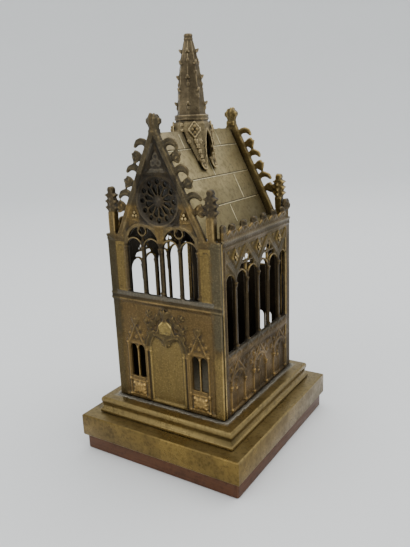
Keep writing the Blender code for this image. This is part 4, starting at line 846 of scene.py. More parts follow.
@dataclass(frozen=True)
class BrassFinish:
    """Aged brass: dark tarnish, bare metal, rubbed edges and relief with a painted highlight, and painted shade.

    A wall's finish has the direction of its relief and the depth of its inner face, and the heights
    over that face are where its relief, its panels' frames and the painted shade on that face start and end.
    """

    name: str
    tarnish: Colour
    metal: Colour
    # Colour of rubbed edges and relief, which a painted highlight is mixed into.
    rubbed_and_highlight: Colour
    # Dark colour of painted shade in corners, recesses and under the roof, and of grime in pits and specks.
    shade_and_grime: Colour = (0.012, 0.009, 0.006)
    edge_share: float = 0.8
    # Gain on the local colour and share of the painted highlight on edges and relief.
    painted_highlight: float = 2.6
    painted_highlight_share: float = 0.7
    corner_share: float = 0.9
    streak_share: float = 0.25
    speck_share: float = 0.35
    recess_shade_share: float = 0.75
    rough_low: float = 0.34
    rough_high: float = 0.58
    metallic: float = 0.88
    bump: float = 0.25
    bump_distance: float = 0.0003
    punch: float = 0.0
    speckle: float = 0.42
    zones: tuple[Zone, ...] = ()
    # Whether what lies under the roof's planes takes painted shade.
    shaded_under_roof: bool = False
    relief_axis: Point3 | None = None
    inner_face: float = 0.0
    relief: Point2 = (1.9, 3.0)
    relief_share: float = 0.22
    proud: Point2 = (1.80, 2.15)
    # Depths over the inner face that take painted shade.
    inner_shade_span: Point2 = (0.22, 0.04)

    def depth_mask(self, graph: Graph, depth: Socket, span: Point2) -> Socket:
        """Mask between two heights over the wall's inner face."""
        return graph.ramp(depth, (self.inner_face + span[0]) * MM, (self.inner_face + span[1]) * MM)

    def material(self, effects: SharedEffects) -> Material:
        """Build the material.

        Args:
            effects: the shared node groups.

        Returns:
            The material.
        """
        graph, material, vector, shader = Graph.of_material(self.name)
        wear_shade_highlight = graph.place(effects.wear_shade_highlight, Vector=vector)
        dirt = graph.place(effects.tarnish, Vector=vector)
        skin = graph.place(effects.grain, Vector=vector, Punch=self.punch)
        clouds = dirt["Clouds"]
        colour = graph.mix(clouds, self.tarnish, self.metal)
        bright: object = 1.0
        # Mask of what lies under the roof's planes, which takes painted shade.
        roofed = graph.place(effects.under_roof, Vector=vector)["Mask"] if self.shaded_under_roof else None
        if self.relief_axis:
            dot = graph.node("VectorMath", {0: vector, 1: self.relief_axis}, operation="DOT_PRODUCT")
            depth = dot.outputs["Value"]
            proud = self.depth_mask(graph, depth, self.proud)
        for zone in self.zones:
            box = {"Low": metres(zone.low), "High": metres(zone.high)}
            mirror = 1.0 if zone.mirror else 0.0
            where = graph.place(effects.zone, Vector=vector, Soft=zone.soft * MM, Mirror=mirror, **box)["Mask"]
            if zone.inside:
                where = graph.times(where, roofed)
            if zone.raised:
                where = graph.times(where, proud)
            tone = graph.layer(zone.colour, clouds, 0.25, self.tarnish)
            colour = graph.layer(colour, where, zone.share, tone)
            # A quiet zone takes fewer rubbed edges and less painted highlight.
            if zone.quiet:
                bright = graph.times(bright, graph.value("SUBTRACT", 1.0, graph.times(where, zone.quiet)))
        # Painted highlight: the local colour made lighter, mixed with the rubbed colour.
        painted_highlight = graph.node("VectorMath", {"Scale": self.painted_highlight, 0: colour}, operation="SCALE").outputs["Vector"]
        rubbed_and_highlight = graph.mix(self.painted_highlight_share, self.rubbed_and_highlight, painted_highlight)
        if self.relief_axis:
            # Raised relief takes rubbed wear and painted highlight.
            raised = self.depth_mask(graph, depth, self.relief)
            colour = graph.layer(colour, graph.times(raised, self.relief_share), bright, rubbed_and_highlight)
            # Painted shade on the inner face, on a gable only under the roof's planes.
            inside = self.depth_mask(graph, depth, self.inner_shade_span)
            colour = graph.layer(colour, graph.times(inside, roofed) if self.shaded_under_roof else inside, 0.9, self.shade_and_grime)
        elif self.shaded_under_roof:
            # Painted shade on the roof sheet's side under its planes.
            colour = graph.layer(colour, roofed, 0.95, self.shade_and_grime)
        if self.punch:
            colour = graph.layer(colour, skin["Dots"], self.speckle, self.shade_and_grime)
        colour = graph.layer(colour, dirt["Streaks"], self.streak_share, self.tarnish)
        # Edges take rubbed wear and painted highlight.
        colour = graph.layer(colour, graph.times(wear_shade_highlight["Edges"], self.edge_share), bright, rubbed_and_highlight)
        # Corners darken: painted shade and patina; the patina also makes them less metallic below.
        colour = graph.layer(colour, wear_shade_highlight["Corners"], self.corner_share, self.shade_and_grime)
        # Painted shade in recesses, from ambient occlusion.
        colour = graph.layer(colour, wear_shade_highlight["Recess Shade"], self.recess_shade_share, self.shade_and_grime)
        colour = graph.layer(colour, dirt["Specks"], self.speck_share, self.shade_and_grime)
        rough = graph.ramp(clouds, 0.0, 1.0, self.rough_high, self.rough_low)
        rough = graph.value("SUBTRACT", rough, graph.times(wear_shade_highlight["Edges"], 0.10), True)
        metal = graph.value("SUBTRACT", self.metallic, graph.times(wear_shade_highlight["Corners"], 0.5), True)
        graph.feed(shader["Base Color"], colour)
        graph.feed(shader["Roughness"], rough)
        graph.feed(shader["Metallic"], metal)
        graph.feed(shader["Normal"], graph.bump(skin["Height"], self.bump, self.bump_distance))
        return material


@dataclass(frozen=True)
class WoodFinish:
    """Dark red-brown polished wood with grain along y and x and rubbed, paler edges."""

    name: str = "board_wood_grain"
    dark: Colour = (0.017, 0.0042, 0.0010)
    light: Colour = (0.064, 0.0178, 0.0036)
    worn: Colour = (0.13, 0.052, 0.020)
    specular: float = 0.25
    bump: float = 0.2
    bump_distance: float = 0.0002

    def material(self, effects: SharedEffects) -> Material:
        """Build the material.

        Args:
            effects: the shared node groups.

        Returns:
            The material.
        """
        graph, material, vector, shader = Graph.of_material(self.name)
        shader["Specular IOR Level"].default_value = self.specular
        lines = graph.noise(graph.stretched(vector, (0.08, 0.08, 1.0)), 900.0, 5.0, 0.7)
        broad = graph.noise(vector, 60.0, 3.0, 0.5)
        wear_shade_highlight = graph.place(effects.wear_shade_highlight, Vector=vector)
        fine_share = graph.ramp(lines, 0.35, 0.68, 0.0, 0.6)
        share = graph.value("ADD", fine_share, graph.ramp(broad, 0.4, 0.7, 0.0, 0.4), True)
        colour = graph.layer(graph.mix(share, self.dark, self.light), wear_shade_highlight["Edges"], 0.6, self.worn)
        graph.feed(shader["Base Color"], colour)
        graph.feed(shader["Roughness"], graph.ramp(lines, 0.3, 0.7, 0.50, 0.36))
        graph.feed(shader["Normal"], graph.bump(lines, self.bump, self.bump_distance))
        return material


# Pieces


def finish_piece(item: Object, material: Material, slot: str, *nodes: str) -> None:
    """Dress a piece, set it on its body and hide the solids that it replaces.

    Args:
        item: the piece.
        material: its finish.
        slot: the record's material slot, not used.
        nodes: solids that it replaces.
    """
    item.data.materials.clear()
    item.data.materials.append(material)
    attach(item, ROOT_BODY)
    if nodes:
        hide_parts(*nodes)
    LOG.info("%s: %d faces", item.name, len(item.data.polygons))


@dataclass
class CastWall:
    """A wall whose ornaments are melted into one skin with its solid."""

    side: Side
    ornaments: Ornaments
    voxel: float = 0.5
    smoothing: int = 2
    parts: list[Object] = field(default_factory=list)
    beads: list[Object] = field(default_factory=list)

    def rib(self, path: Iterable[Point2], out: float, radius: float, closed: bool = False) -> None:
        """Add a round rib along a path at a depth."""
        self.parts.append(Bench.rod([(x, -out, z) for x, z in path], radius, closed=closed))

    def upright(self, x: float, low: float, high: float, out: float, radius: float) -> None:
        """Add a straight rib between two heights."""
        self.rib(((x, low), (x, high)), out, radius)

    def level(self, middle: float, half: float, z: float, out: float, radius: float) -> None:
        """Add a straight rib to both sides of a middle line."""
        self.rib(((middle - half, z), (middle + half, z)), out, radius)

    def peak(self, middle: float, half: float, heights: Point2, out: float, radius: float) -> None:
        """Add a rib that rises from one height to another and falls back."""
        low, high = heights
        self.rib(((middle - half, low), (middle, high), (middle + half, low)), out, radius)

    def ball(self, x: float, z: float, out: float, radii: Point3) -> None:
        """Add an egg-shaped ball."""
        self.parts.append(Bench.ball((x, -out, z), radii))

    def ring(self, x: float, z: float, out: float, radius: float, thick: float, sides: int) -> None:
        """Add a ring round a point."""
        self.parts.append(Bench.ring((x, -out, z), radius, thick, False, sides))

    def stamp(self, master: Object, *places: tuple[float, ...]) -> None:
        """Copy an ornament to each place, a row of what at() takes."""
        self.parts += [Bench.copy(master, at(*place)) for place in places]

    def sprays(self, middle: float, edge: float, rows: Iterable[tuple[float, ...]]) -> None:
        """Copy the leaf to one side of a middle line.

        Args:
            middle: place of the line along the wall.
            edge: -1 or 1, for the side.
            rows: distance from the line, height, depth, turn and size of each leaf.
        """
        for apart, z, out, spin, size in rows:
            self.stamp(self.ornaments.leaf, (middle + edge * apart, z, out, edge * spin, size))

    def dress(self) -> None:
        """Add the wall's ornaments."""
        raise NotImplementedError

    def build(self, material: Material, highlight_beads: Material, slot: str) -> None:
        """Build the whole wall.

        Args:
            material: its finish.
            highlight_beads: finish of its bright beads, rubbed wear with a painted highlight.
            slot: the record's material slot.
        """
        self.dress()
        node = self.side.node
        dressing = Bench.join(self.parts, node + "_dressing")
        dressing.data.transform(self.side.matrix())
        whole = Bench.join([Bench.merged_copy(node, node + "_cast"), dressing], node + "_cast")
        Bench.cast(whole, self.voxel, self.smoothing)
        finish_piece(whole, material, slot, node)
        if self.beads:
            dots = Bench.join(self.beads, node + "_beads")
            dots.data.transform(self.side.matrix())
            finish_piece(dots, highlight_beads, slot)


@dataclass
class GableWall(CastWall):
    """A gable wall with its windows, rose, climbing leaves, bud and pinnacles."""

    window_middle: float = 12.3
    window_half: float = 11.6
    window_spring: float = 128.5
    sill: float = 100.5
    light_offset: float = 6.05
    light_half: float = 5.0
    light_spring: float = 127.5
    oculus: float = 137.1
    rose: float = 153.8
    rose_radius: float = 12.6
    teardrop: tuple[Point2, ...] = (
        (12.6, 142.4), (16.0, 142.9), (20.2, 143.2), (18.9, 146.8), (16.6, 151.4), (15.2, 148.2),
    )
    hook_feet: tuple[float, ...] = (154.9, 168.5, 182.1)
    fan_feet: tuple[float, ...] = (148.1, 161.7, 175.3)
    pinnacle: float = 32.7
    lancet: float = 21.7
    door_head: tuple[Point3, ...] = (
        (1.0, 34.5, 0.0), (1.0, 68.0, 0.0), (0.95, 71.6, 0.3), (0.80, 74.9, 0.8),
        (0.60, 76.4, 0.9), (0.38, 75.0, 1.0), (0.14, 71.6, 1.3), (0.0, 70.7, 1.4),
    )
    door_leaves: tuple[tuple[float, ...], ...] = (
        (3.7, 86.6, 2.2, 35.0, 1.05), (6.5, 83.3, 2.2, 50.0, 1.1), (10.2, 87.8, 2.2, 30.0, 1.1),
        (9.6, 80.8, 2.2, 60.0, 1.1), (9.3, 77.4, 2.2, 80.0, 1.0), (1.6, 90.6, 2.2, 60.0, 0.75),
        (13.8, 73.2, 2.2, 82.0, 0.75), (13.0, 83.6, 2.2, 50.0, 0.75),
    )
    lancet_leaves: tuple[tuple[float, ...], ...] = (
        (4.0, 74.4, 2.1, 48.0, 0.55), (2.3, 78.2, 2.1, 40.0, 0.5), (5.2, 70.6, 2.1, 60.0, 0.55),
        (0.6, 40.4, 2.5, 35.0, 0.95), (0.6, 40.4, 2.5, 90.0, 0.95), (0.6, 40.4, 2.5, 145.0, 0.95),
    )

    def dress(self) -> None:
        """Add the wall's ornaments; only the front has the door and the narrow lights."""
        self.windows()
        self.rose_window()
        self.gable()
        self.crockets()
        for side, lean in ((-1.0, 1.5), (1.0, -1.0)):
            foot = CHAPEL.eave - self.side.lift
            self.stamp(self.ornaments.pinnacle, (side * self.pinnacle, foot, CHAPEL.wall_thickness / 2, lean))
        for side in SIDES:
            self.upright(side * 32.0, 34.0, 95.0, 2.0, 0.36)
            for x in (25.3, 31.9):
                self.upright(side * x, 101.0, 130.0, 2.05, 0.36)
        if self.side is Side.FRONT:
            self.door()
            self.lancets()

    def windows(self) -> None:
        """Ribs on the window arches, colonettes with capitals, cusps and foils."""
        for side in SIDES:
            middle = side * self.window_middle
            for edge in SIDES:
                centre = middle + edge * self.light_offset
                self.rib(arch(centre, self.light_half + 0.45, self.sill, self.light_spring), 1.9, 0.5)
            for x in (middle - self.window_half, middle, middle + self.window_half):
                self.upright(x, self.sill, self.light_spring, 2.0, 0.6)
                capitals = (x, self.light_spring - 1.4, 1.9), (x, self.sill + 0.6, 1.9, 0.0, 0.9)
                self.stamp(self.ornaments.capital, *capitals)
            self.rib(arc((middle, self.window_spring), self.window_half, 4.0, 176.0, 16), 2.0, 0.6)
            self.ring(middle, self.oculus, 1.8, 2.75, 0.5, 14)
            for x, z in around(3, 30.0, 1.9):
                self.ball(middle + x, self.oculus + z, 1.4, (0.6, 0.6, 0.6))

    def rose_window(self) -> None:
        """Rolls round the rose, ribs on its spokes, rings round its roundels and a flower in its middle."""
        self.ring(0.0, self.rose, 2.4, self.rose_radius + 0.8, 0.75, 40)
        self.ring(0.0, self.rose, 1.9, self.rose_radius - 0.35, 0.4, 40)
        for x, z in around(12, 90.0):
            self.rib([(reach * x, self.rose + reach * z) for reach in (2.0, 8.9)], 1.7, 0.42)
            self.ring(10.4 * x, self.rose + 10.4 * z, 1.7, 1.75, 0.36, 10)
        for x, z in around(6, 0.0, 1.3):
            self.ball(x, self.rose + z, 1.8, (0.7, 0.6, 0.7))
        self.ball(0.0, self.rose, 2.1, (0.8, 0.7, 0.8))

    def gable(self) -> None:
        """Rolls up the rakes and the bud, and on the front a trefoil, teardrop rims and beads by the rose."""
        front = self.side is Side.FRONT
        foot, top = CHAPEL.eave - 0.5, CHAPEL.neck - 1.0
        for side in SIDES:
            for inset, radius, out in ((0.8, 0.75, 2.4), (2.9, 0.5, 2.6)):
                high = top - inset * 2.0
                wide, narrow = CHAPEL.rake_half(foot) - inset, max(CHAPEL.rake_half(high) - inset, 0.2)
                self.rib(((side * wide, foot), (side * narrow, high)), out, radius)
            if front:
                self.beads.append(Bench.copy(self.ornaments.beads, at(side * 16.4, 146.0, 1.9, size=0.95)))
                self.rib([(side * x, z) for x, z in self.teardrop], 1.8, 0.38, True)
        if front:
            for x, z in ((0.0, 177.2), (-1.9, 173.9), (1.9, 173.9)):
                self.ring(x, z, 1.9, 1.5, 0.42, 12)
            self.level(0.0, 4.6, 170.4, 2.0, 0.5)
            self.peak(0.0, 2.9, (171.0, 181.5), 1.7, 0.35)
        self.stamp(self.ornaments.bud, (0.0, CHAPEL.neck + 0.3, CHAPEL.wall_thickness / 2))

    def crockets(self) -> None:
        """Hooks and fan leaves in turn up both rakes."""
        rng = random.Random(11 if self.side is Side.FRONT else 23)
        kinds = (
            (self.ornaments.hook, self.hook_feet, 5.0, 0.93, 1.04),
            (self.ornaments.fan, self.fan_feet, 6.0, 0.88, 1.0),
        )
        for side in SIDES:
            for master, feet, sway, small, large in kinds:
                for foot in feet:
                    turn, size = rng.uniform(-sway, sway), rng.uniform(small, large)
                    x = side * CHAPEL.rake_half(foot)
                    self.stamp(master, (x, foot, CHAPEL.wall_thickness / 2, turn, size, side < 0))

    def door(self) -> None:
        """Rolls round the door, its pendant leaf, the ogee's leaves and the scrolls beside it."""
        for half, radius, out in ((11.4, 0.5, 2.1), (14.1, 0.6, 2.3)):
            path = [(-half * share, z + (half - 10.9) * lift) for share, z, lift in self.door_head]
            self.rib(mirrored(path), out, radius)
        ogee = [(-6.9, 78.0), (-5.6, 79.3), (-4.9, 81.2), (-4.3, 83.0), (-2.7, 84.6), (-1.1, 86.2), (0.0, 88.2)]
        self.rib(mirrored(ogee), 2.5, 0.55)
        self.rib(mirrored([(-8.6, 77.3), (-5.4, 76.9), (-2.4, 75.6), (0.0, 74.2)]), 2.5, 0.6)
        self.ball(0.0, 83.3, 1.9, (2.1, 0.8, 2.9))
        for side in SIDES:
            self.ball(side * 2.2, 80.7, 1.8, (2.2, 0.8, 1.9))
        self.stamp(self.ornaments.leaf, (0.0, 74.6, 2.4, 180.0, 1.15), (0.0, 88.9, 2.6, 0.0, 1.25))
        self.stamp(self.ornaments.leaf, (-0.6, 73.4, 2.3, 235.0, 0.8), (0.6, 73.4, 2.3, 125.0, 0.8))
        for side in SIDES:
            self.sprays(0.0, side, self.door_leaves)
            scroll = ((13.6, 70.6), (12.8, 73.6), (11.0, 76.4), (8.4, 78.8))
            self.rib([(side * x, z) for x, z in scroll], 2.1, 0.45)
            capitals = (side * 14.2, 65.4, 2.0, 0.0, 0.8), (side * 11.4, 65.4, 1.9, 0.0, 0.7)
            self.stamp(self.ornaments.capital, *capitals)

    def lancets(self) -> None:
        """Colonettes, arches, gablets, quatrefoils and leaf panels round the narrow lights."""
        for side in SIDES:
            middle = side * self.lancet
            for edge in SIDES:
                x = middle + edge * 6.3
                self.upright(x, 34.6, 70.0, 2.1, 0.6)
                for z, size in ((68.2, 0.85), (45.0, 0.8), (34.6, 0.85)):
                    self.stamp(self.ornaments.capital, (x, z, 2.1, 0.0, size))
                self.rib(arc((middle + edge * 2.8, 66.2), 2.6, 0.0, 180.0, 8), 1.8, 0.36)
                self.sprays(middle, edge, self.lancet_leaves)
                for apart, z in ((3.6, 38.0), (3.8, 43.2)):
                    self.ball(middle + edge * apart, z, 2.3, (0.9, 0.7, 0.9))
            self.peak(middle, 5.3, (69.6, 81.2), 2.2, 0.6)
            self.level(middle, 5.0, 69.4, 2.1, 0.5)
            self.stamp(self.ornaments.rosette, (middle, 73.2, 1.9, 45.0, 0.9))
            self.stamp(self.ornaments.leaf, (middle, 81.6, 2.2, 0.0, 1.0))
            for edge in SIDES:
                self.sprays(middle, edge, ((1.0, 83.6, 2.1, 55.0, 0.6),))
            self.level(middle, 5.6, 36.0, 2.0, 0.42)
            self.level(middle, 5.6, 45.2, 2.0, 0.42)
            self.stamp(self.ornaments.leaf, (middle, 40.6, 2.5, 0.0, 0.95), (middle, 40.6, 2.5, 180.0, 0.95))


@dataclass
class SideWall(CastWall):
    """A side wall with blind arches, tall lights, lozenges, cornice and cresting."""

    bay: float = 27.0
    sill: float = 70.6
    light_half: float = 5.6
    light_spring: float = 108.7
    end_light: Point2 = (32.87, 4.72)
    apex: float = 125.5
    vee_foot: float = 113.6
    roundel: float = 120.9
    lozenge: float = 123.5
    crest_pitch: float = 12.4
    crest_count: int = 6
    blind_half: float = 8.0
    blind_spring: float = 50.3
    blind_leaves: tuple[tuple[float, ...], ...] = (
        (5.6, 59.4, 2.0, 50.0, 0.75), (9.4, 55.0, 2.0, 35.0, 0.85),
        (2.6, 63.2, 2.0, 60.0, 0.6), (11.6, 60.2, 1.9, 15.0, 0.8),
    )

    def dress(self) -> None:
        """Add the wall's ornaments."""
        rear = 1.0 if self.side is Side.RIGHT else -1.0
        for number in (-1, 0, 1):
            self.blind_arch(number * self.bay)
        self.lights()
        self.heads()
        for z, radius, out in ((130.4, 0.5, 2.6), (133.6, 0.55, 2.9)):
            self.rib(((rear * -40.2, z), (rear * 42.6, z)), out, radius)
        self.crests(rear)

    def blind_arch(self, middle: float) -> None:
        """Rolls, cusps and leaves of a blind arch, with a gable over it."""
        leaf, spring = self.ornaments.leaf, self.blind_spring
        self.rib(arch(middle, self.blind_half, 35.0, spring), 2.1, 0.6)
        for edge in SIDES:
            x = middle + edge * self.blind_half
            self.stamp(self.ornaments.capital, (x, spring - 1.4, 2.1, 0.0, 0.95), (x, 35.2, 2.1, 0.0, 0.95))
            centre = (middle + edge * 3.6, spring + 1.6)
            self.rib(arc(centre, 3.3, 90.0 - edge * 100.0, 90.0 + edge * 95.0, 6), 1.9, 0.45)
            self.sprays(middle, edge, self.blind_leaves)
        self.rib(arc((middle, spring + 4.0), 3.0, 0.0, 180.0, 8), 1.9, 0.45)
        self.peak(middle, 8.6, (54.4, 64.6), 2.1, 0.6)
        self.stamp(leaf, (middle, 58.8, 1.9, 0.0, 0.8), (middle, 50.0, 1.8, 0.0, 1.15))
        self.stamp(leaf, *((middle, 48.6, 1.8, turn, 0.95) for turn in (-60.0, 60.0, 125.0, -125.0)))
        self.upright(middle, 36.0, 48.0, 1.7, 0.4)

    def lights(self) -> None:
        """Colonettes with capitals and bases, arches over the lights and a scalloped sill."""
        half_bay = self.bay / 2
        for number in range(-2, 3):
            x = number * half_bay
            rise, radius, size = (4.0, 0.55, 1.1) if number % 2 == 0 else (0.0, 0.42, 0.9)
            self.upright(x, self.sill, self.light_spring + rise, 2.0, radius)
            for z in (self.light_spring - 1.5, self.sill + 0.4):
                self.stamp(self.ornaments.capital, (x, z, 2.0, 0.0, size))
        for side in SIDES:
            self.upright(side * 38.2, self.sill, 128.0, 2.2, 0.6)
            for x, half in ((half_bay * 0.5, self.light_half), (half_bay * 1.5, self.light_half), self.end_light):
                self.rib(arch(side * x, half + 0.45, 100.0, 114.3 - half), 1.9, 0.45)
                self.rib(arc((side * x, 72.6), half + 0.2, 205.0, 335.0, 6), 2.3, 0.55)

    def heads(self) -> None:
        """Steep gables over the bays, foiled rings in their heads and lozenges between them."""
        run = self.bay / 2 - 1.1
        slope = (self.apex - self.vee_foot) / run
        foot = self.vee_foot - 0.6
        for side in SIDES:
            middle = side * self.bay / 2
            self.peak(middle, run + 0.6, (foot, self.apex + 0.4), 2.1, 0.5)
            self.level(middle, 6.0, 118.4, 1.8, 0.6)
            self.ring(middle, self.roundel, 1.7, 2.3, 0.45, 14)
            for x, z in around(3, 90.0, 1.6):
                self.ball(middle + x, self.roundel + z, 1.6, (0.5, 0.5, 0.5))
            start, end = side * (self.bay + 0.5), side * 38.0
            self.rib(((start, foot), (end, self.vee_foot + slope * abs(end - start))), 2.1, 0.5)
        for number in (-1, 0, 1):
            middle = number * self.bay
            self.stamp(self.ornaments.lozenge, (middle, self.lozenge, 2.2))
            self.beads.append(Bench.copy(self.ornaments.highlight_beads, at(middle, self.lozenge, 2.5)))
            for edge in SIDES:
                self.stamp(self.ornaments.rosette, (middle + edge * 6.0, 126.8, 1.9, 0.0, 0.5))

    def crests(self, rear: float) -> None:
        """Leaf crests over the cornice, each a little different, and the large leaf at the rear end.

        Args:
            rear: 1 or -1, the way along the wall that goes to the back.
        """
        rng = random.Random(5 if self.side is Side.RIGHT else 7)
        foot, out = CHAPEL.eave - 0.3, 1.7
        for number in range(self.crest_count):
            x = rear * 1.3 + self.crest_pitch * (number - (self.crest_count - 1) / 2)
            self.stamp(self.ornaments.crest, (x, foot, out, rng.uniform(-4.0, 4.0), rng.uniform(0.94, 1.05)))
        self.stamp(self.ornaments.rear_leaf, (rear * 39.3, foot, out, 0.0, 1.0, rear < 0))


@dataclass
class Spire:
    """The spire: ribbed eight-sided cone with leaf knobs, ring, and drum with lozenges and leaves."""

    ornaments: Ornaments
    voxel: float = 0.4
    smoothing: int = 2
    centre: float = -6.4
    lean: float = 6.0
    rows: tuple[Point3, ...] = (
        (203.6, 7.7, 22.5), (210.8, 6.8, 67.5), (217.6, 6.0, 22.5), (225.0, 5.0, 67.5), (231.2, 3.8, 22.5),
    )
    ribs: tuple[Point2, ...] = ((198.0, 7.9), (206.0, 7.2), (217.0, 6.2), (228.0, 4.4), (236.4, 2.4))
    rings: tuple[Point3, ...] = ((195.4, 9.2, 0.7), (197.0, 9.0, 0.8), (237.4, 2.2, 0.5))
    badge: float = 189.8
    badge_radius: float = 10.9
    badge_angles: tuple[Point2, ...] = ((40.0, 1.0), (130.0, -1.0), (220.0, 1.0), (310.0, -1.0))
    garland: tuple[Point3, ...] = (
        (6.3, 3.0, 0.95), (9.0, 7.0, 0.9), (11.8, 11.0, 0.9), (14.6, 15.0, 0.85), (17.2, 18.0, 0.8),
    )
    saddle_rim: tuple[Point2, ...] = (
        (1.0, 189.9), (9.0, 188.0), (15.0, 184.6), (19.0, 180.0), (21.0, 175.0), (21.0, 171.5),
    )
    saddle_edge: tuple[Point2, ...] = ((9.4, 188.8), (8.3, 182.6), (7.9, 178.0), (7.6, 172.6))
    tongue_height: float = 170.6
    tongue_apart: float = 5.5
    tongue_size: float = 1.2
    parts: list[Object] = field(default_factory=list)

    def round_place(self, angle: float, radius: float, height: float, lean: float = 0.0) -> Matrix:
        """Matrix that sets an ornament on the spire.

        Args:
            angle: direction from -y towards +x in degrees.
            radius: distance from the axis.
            height: its height.
            lean: how far it leans back in degrees.

        Returns:
            The matrix, in metres.
        """
        middle = Matrix.Translation(metres((0.0, self.centre, 0.0)))
        out = Matrix.Translation(metres((0.0, -radius, height)))
        turn = Matrix.Rotation(math.radians(angle), 4, "Z")
        return middle @ turn @ out @ Matrix.Rotation(math.radians(-lean), 4, "X")

    def slope_place(self, side: float, y: float) -> Matrix:
        """Matrix that lays a tongue on the roof's slope, its end down.

        Args:
            side: -1 for the left slope and 1 for the right one.
            y: place along the ridge.

        Returns:
            The matrix, in metres.
        """
        run = math.hypot(1.0, CHAPEL.roof_slope)
        normal = Vector((side * CHAPEL.roof_slope / run, 0.0, 1.0 / run))
        rise = Vector((-side / run, 0.0, CHAPEL.roof_slope / run))
        turn = Matrix(((-normal).cross(rise), -normal, rise)).transposed().to_4x4()
        x = (CHAPEL.ridge - self.tongue_height) / CHAPEL.roof_slope
        foot = Vector((side * x, y, self.tongue_height)) + normal * 0.8
        return Matrix.Translation(foot * MM) @ turn

    def stamp(self, master: Object, place: Matrix, size: float) -> None:
        """Copy an ornament to a place at a size."""
        self.parts.append(Bench.copy(master, place @ Matrix.Scale(size, 4)))

    def rib(self, rows: Iterable[Point3], radius: float) -> None:
        """Add a rib through points given as angle, distance from the axis and height."""
        path = []
        for angle, reach, height in rows:
            y, x = polar(angle)
            path.append((x * reach, self.centre - y * reach, height))
        self.parts.append(Bench.rod(path, radius))

    def cone(self) -> None:
        """Knobs and ribs up the cone, and the rings at its foot and top."""
        for height, radius, start in self.rows:
            for quarter in range(4):
                place = self.round_place(start + 90.0 * quarter, radius, height)
                self.parts.append(Bench.copy(self.ornaments.knob, place))
        for edge in range(8):
            self.rib([(22.5 + 45.0 * edge, radius, height) for height, radius in self.ribs], 0.42)
        for height, radius, thick in self.rings:
            self.parts.append(Bench.ring((0.0, self.centre, height), radius, thick, sides=28))

    def badges(self) -> list[Object]:
        """Lozenges round the drum with garlands and leaves under them; returns their bright beads."""
        kit, radius = self.ornaments, self.badge_radius
        beads = []
        for angle, swing in self.badge_angles:
            beads.append(Bench.copy(kit.highlight_beads, self.round_place(angle, radius + 0.4, self.badge, self.lean)))
            self.stamp(kit.lozenge, self.round_place(angle, radius, self.badge, self.lean), 1.05)
            for drop, shift, size in self.garland:
                reach = radius + drop * 0.13
                place = self.round_place(angle + swing * shift, reach, self.badge - drop, self.lean)
                self.stamp(kit.rosette, place, size)
            for side in SIDES:
                place = self.round_place(angle + side * 14.0, radius, self.badge - 5.6, self.lean)
                self.stamp(kit.leaf, place @ Matrix.Rotation(math.radians(side * 150.0), 4, "Y"), 0.7)
        return beads

    def saddle(self) -> None:
        """Rims and tongues of the four legs, ribs on the roof beside them and rows of flowers."""
        for side in SIDES:
            for along in SIDES:
                rim = []
                for turn, height in self.saddle_rim:
                    rim.append((side * (90.0 - along * turn), 9.4 + (195.0 - height) * 0.16, height))
                self.rib(rim, 0.42)
                place = self.slope_place(side, self.centre - along * self.tongue_apart)
                self.stamp(self.ornaments.tongue, place, self.tongue_size)
                edge = []
                for out, height in self.saddle_edge:
                    run = (CHAPEL.ridge - height) / CHAPEL.roof_slope
                    edge.append((side * (run + 0.55), self.centre - along * out, height + 0.3))
                self.parts.append(Bench.rod(edge, 0.5))
        for angle in (0.0, 180.0):
            for height in (192.6, 189.4, 186.2, 183.0):
                place = self.round_place(angle, 10.3 + (192.6 - height) * 0.1, height, self.lean)
                self.stamp(self.ornaments.rosette, place, 0.75)

    def build(self, material: Material, highlight_beads: Material, slot: str) -> None:
        """Build the spire.

        Args:
            material: its finish.
            highlight_beads: finish of the bright beads in the lozenges, rubbed wear with a painted highlight.
            slot: the record's material slot.
        """
        self.cone()
        beads = self.badges()
        self.saddle()
        whole = Bench.join([Bench.merged_copy("spire", "spire_cast")] + self.parts, "spire_cast")
        Bench.cast(whole, self.voxel, self.smoothing)
        finish_piece(whole, material, slot, "spire")
        finish_piece(Bench.join(beads, "spire_beads"), highlight_beads, slot)


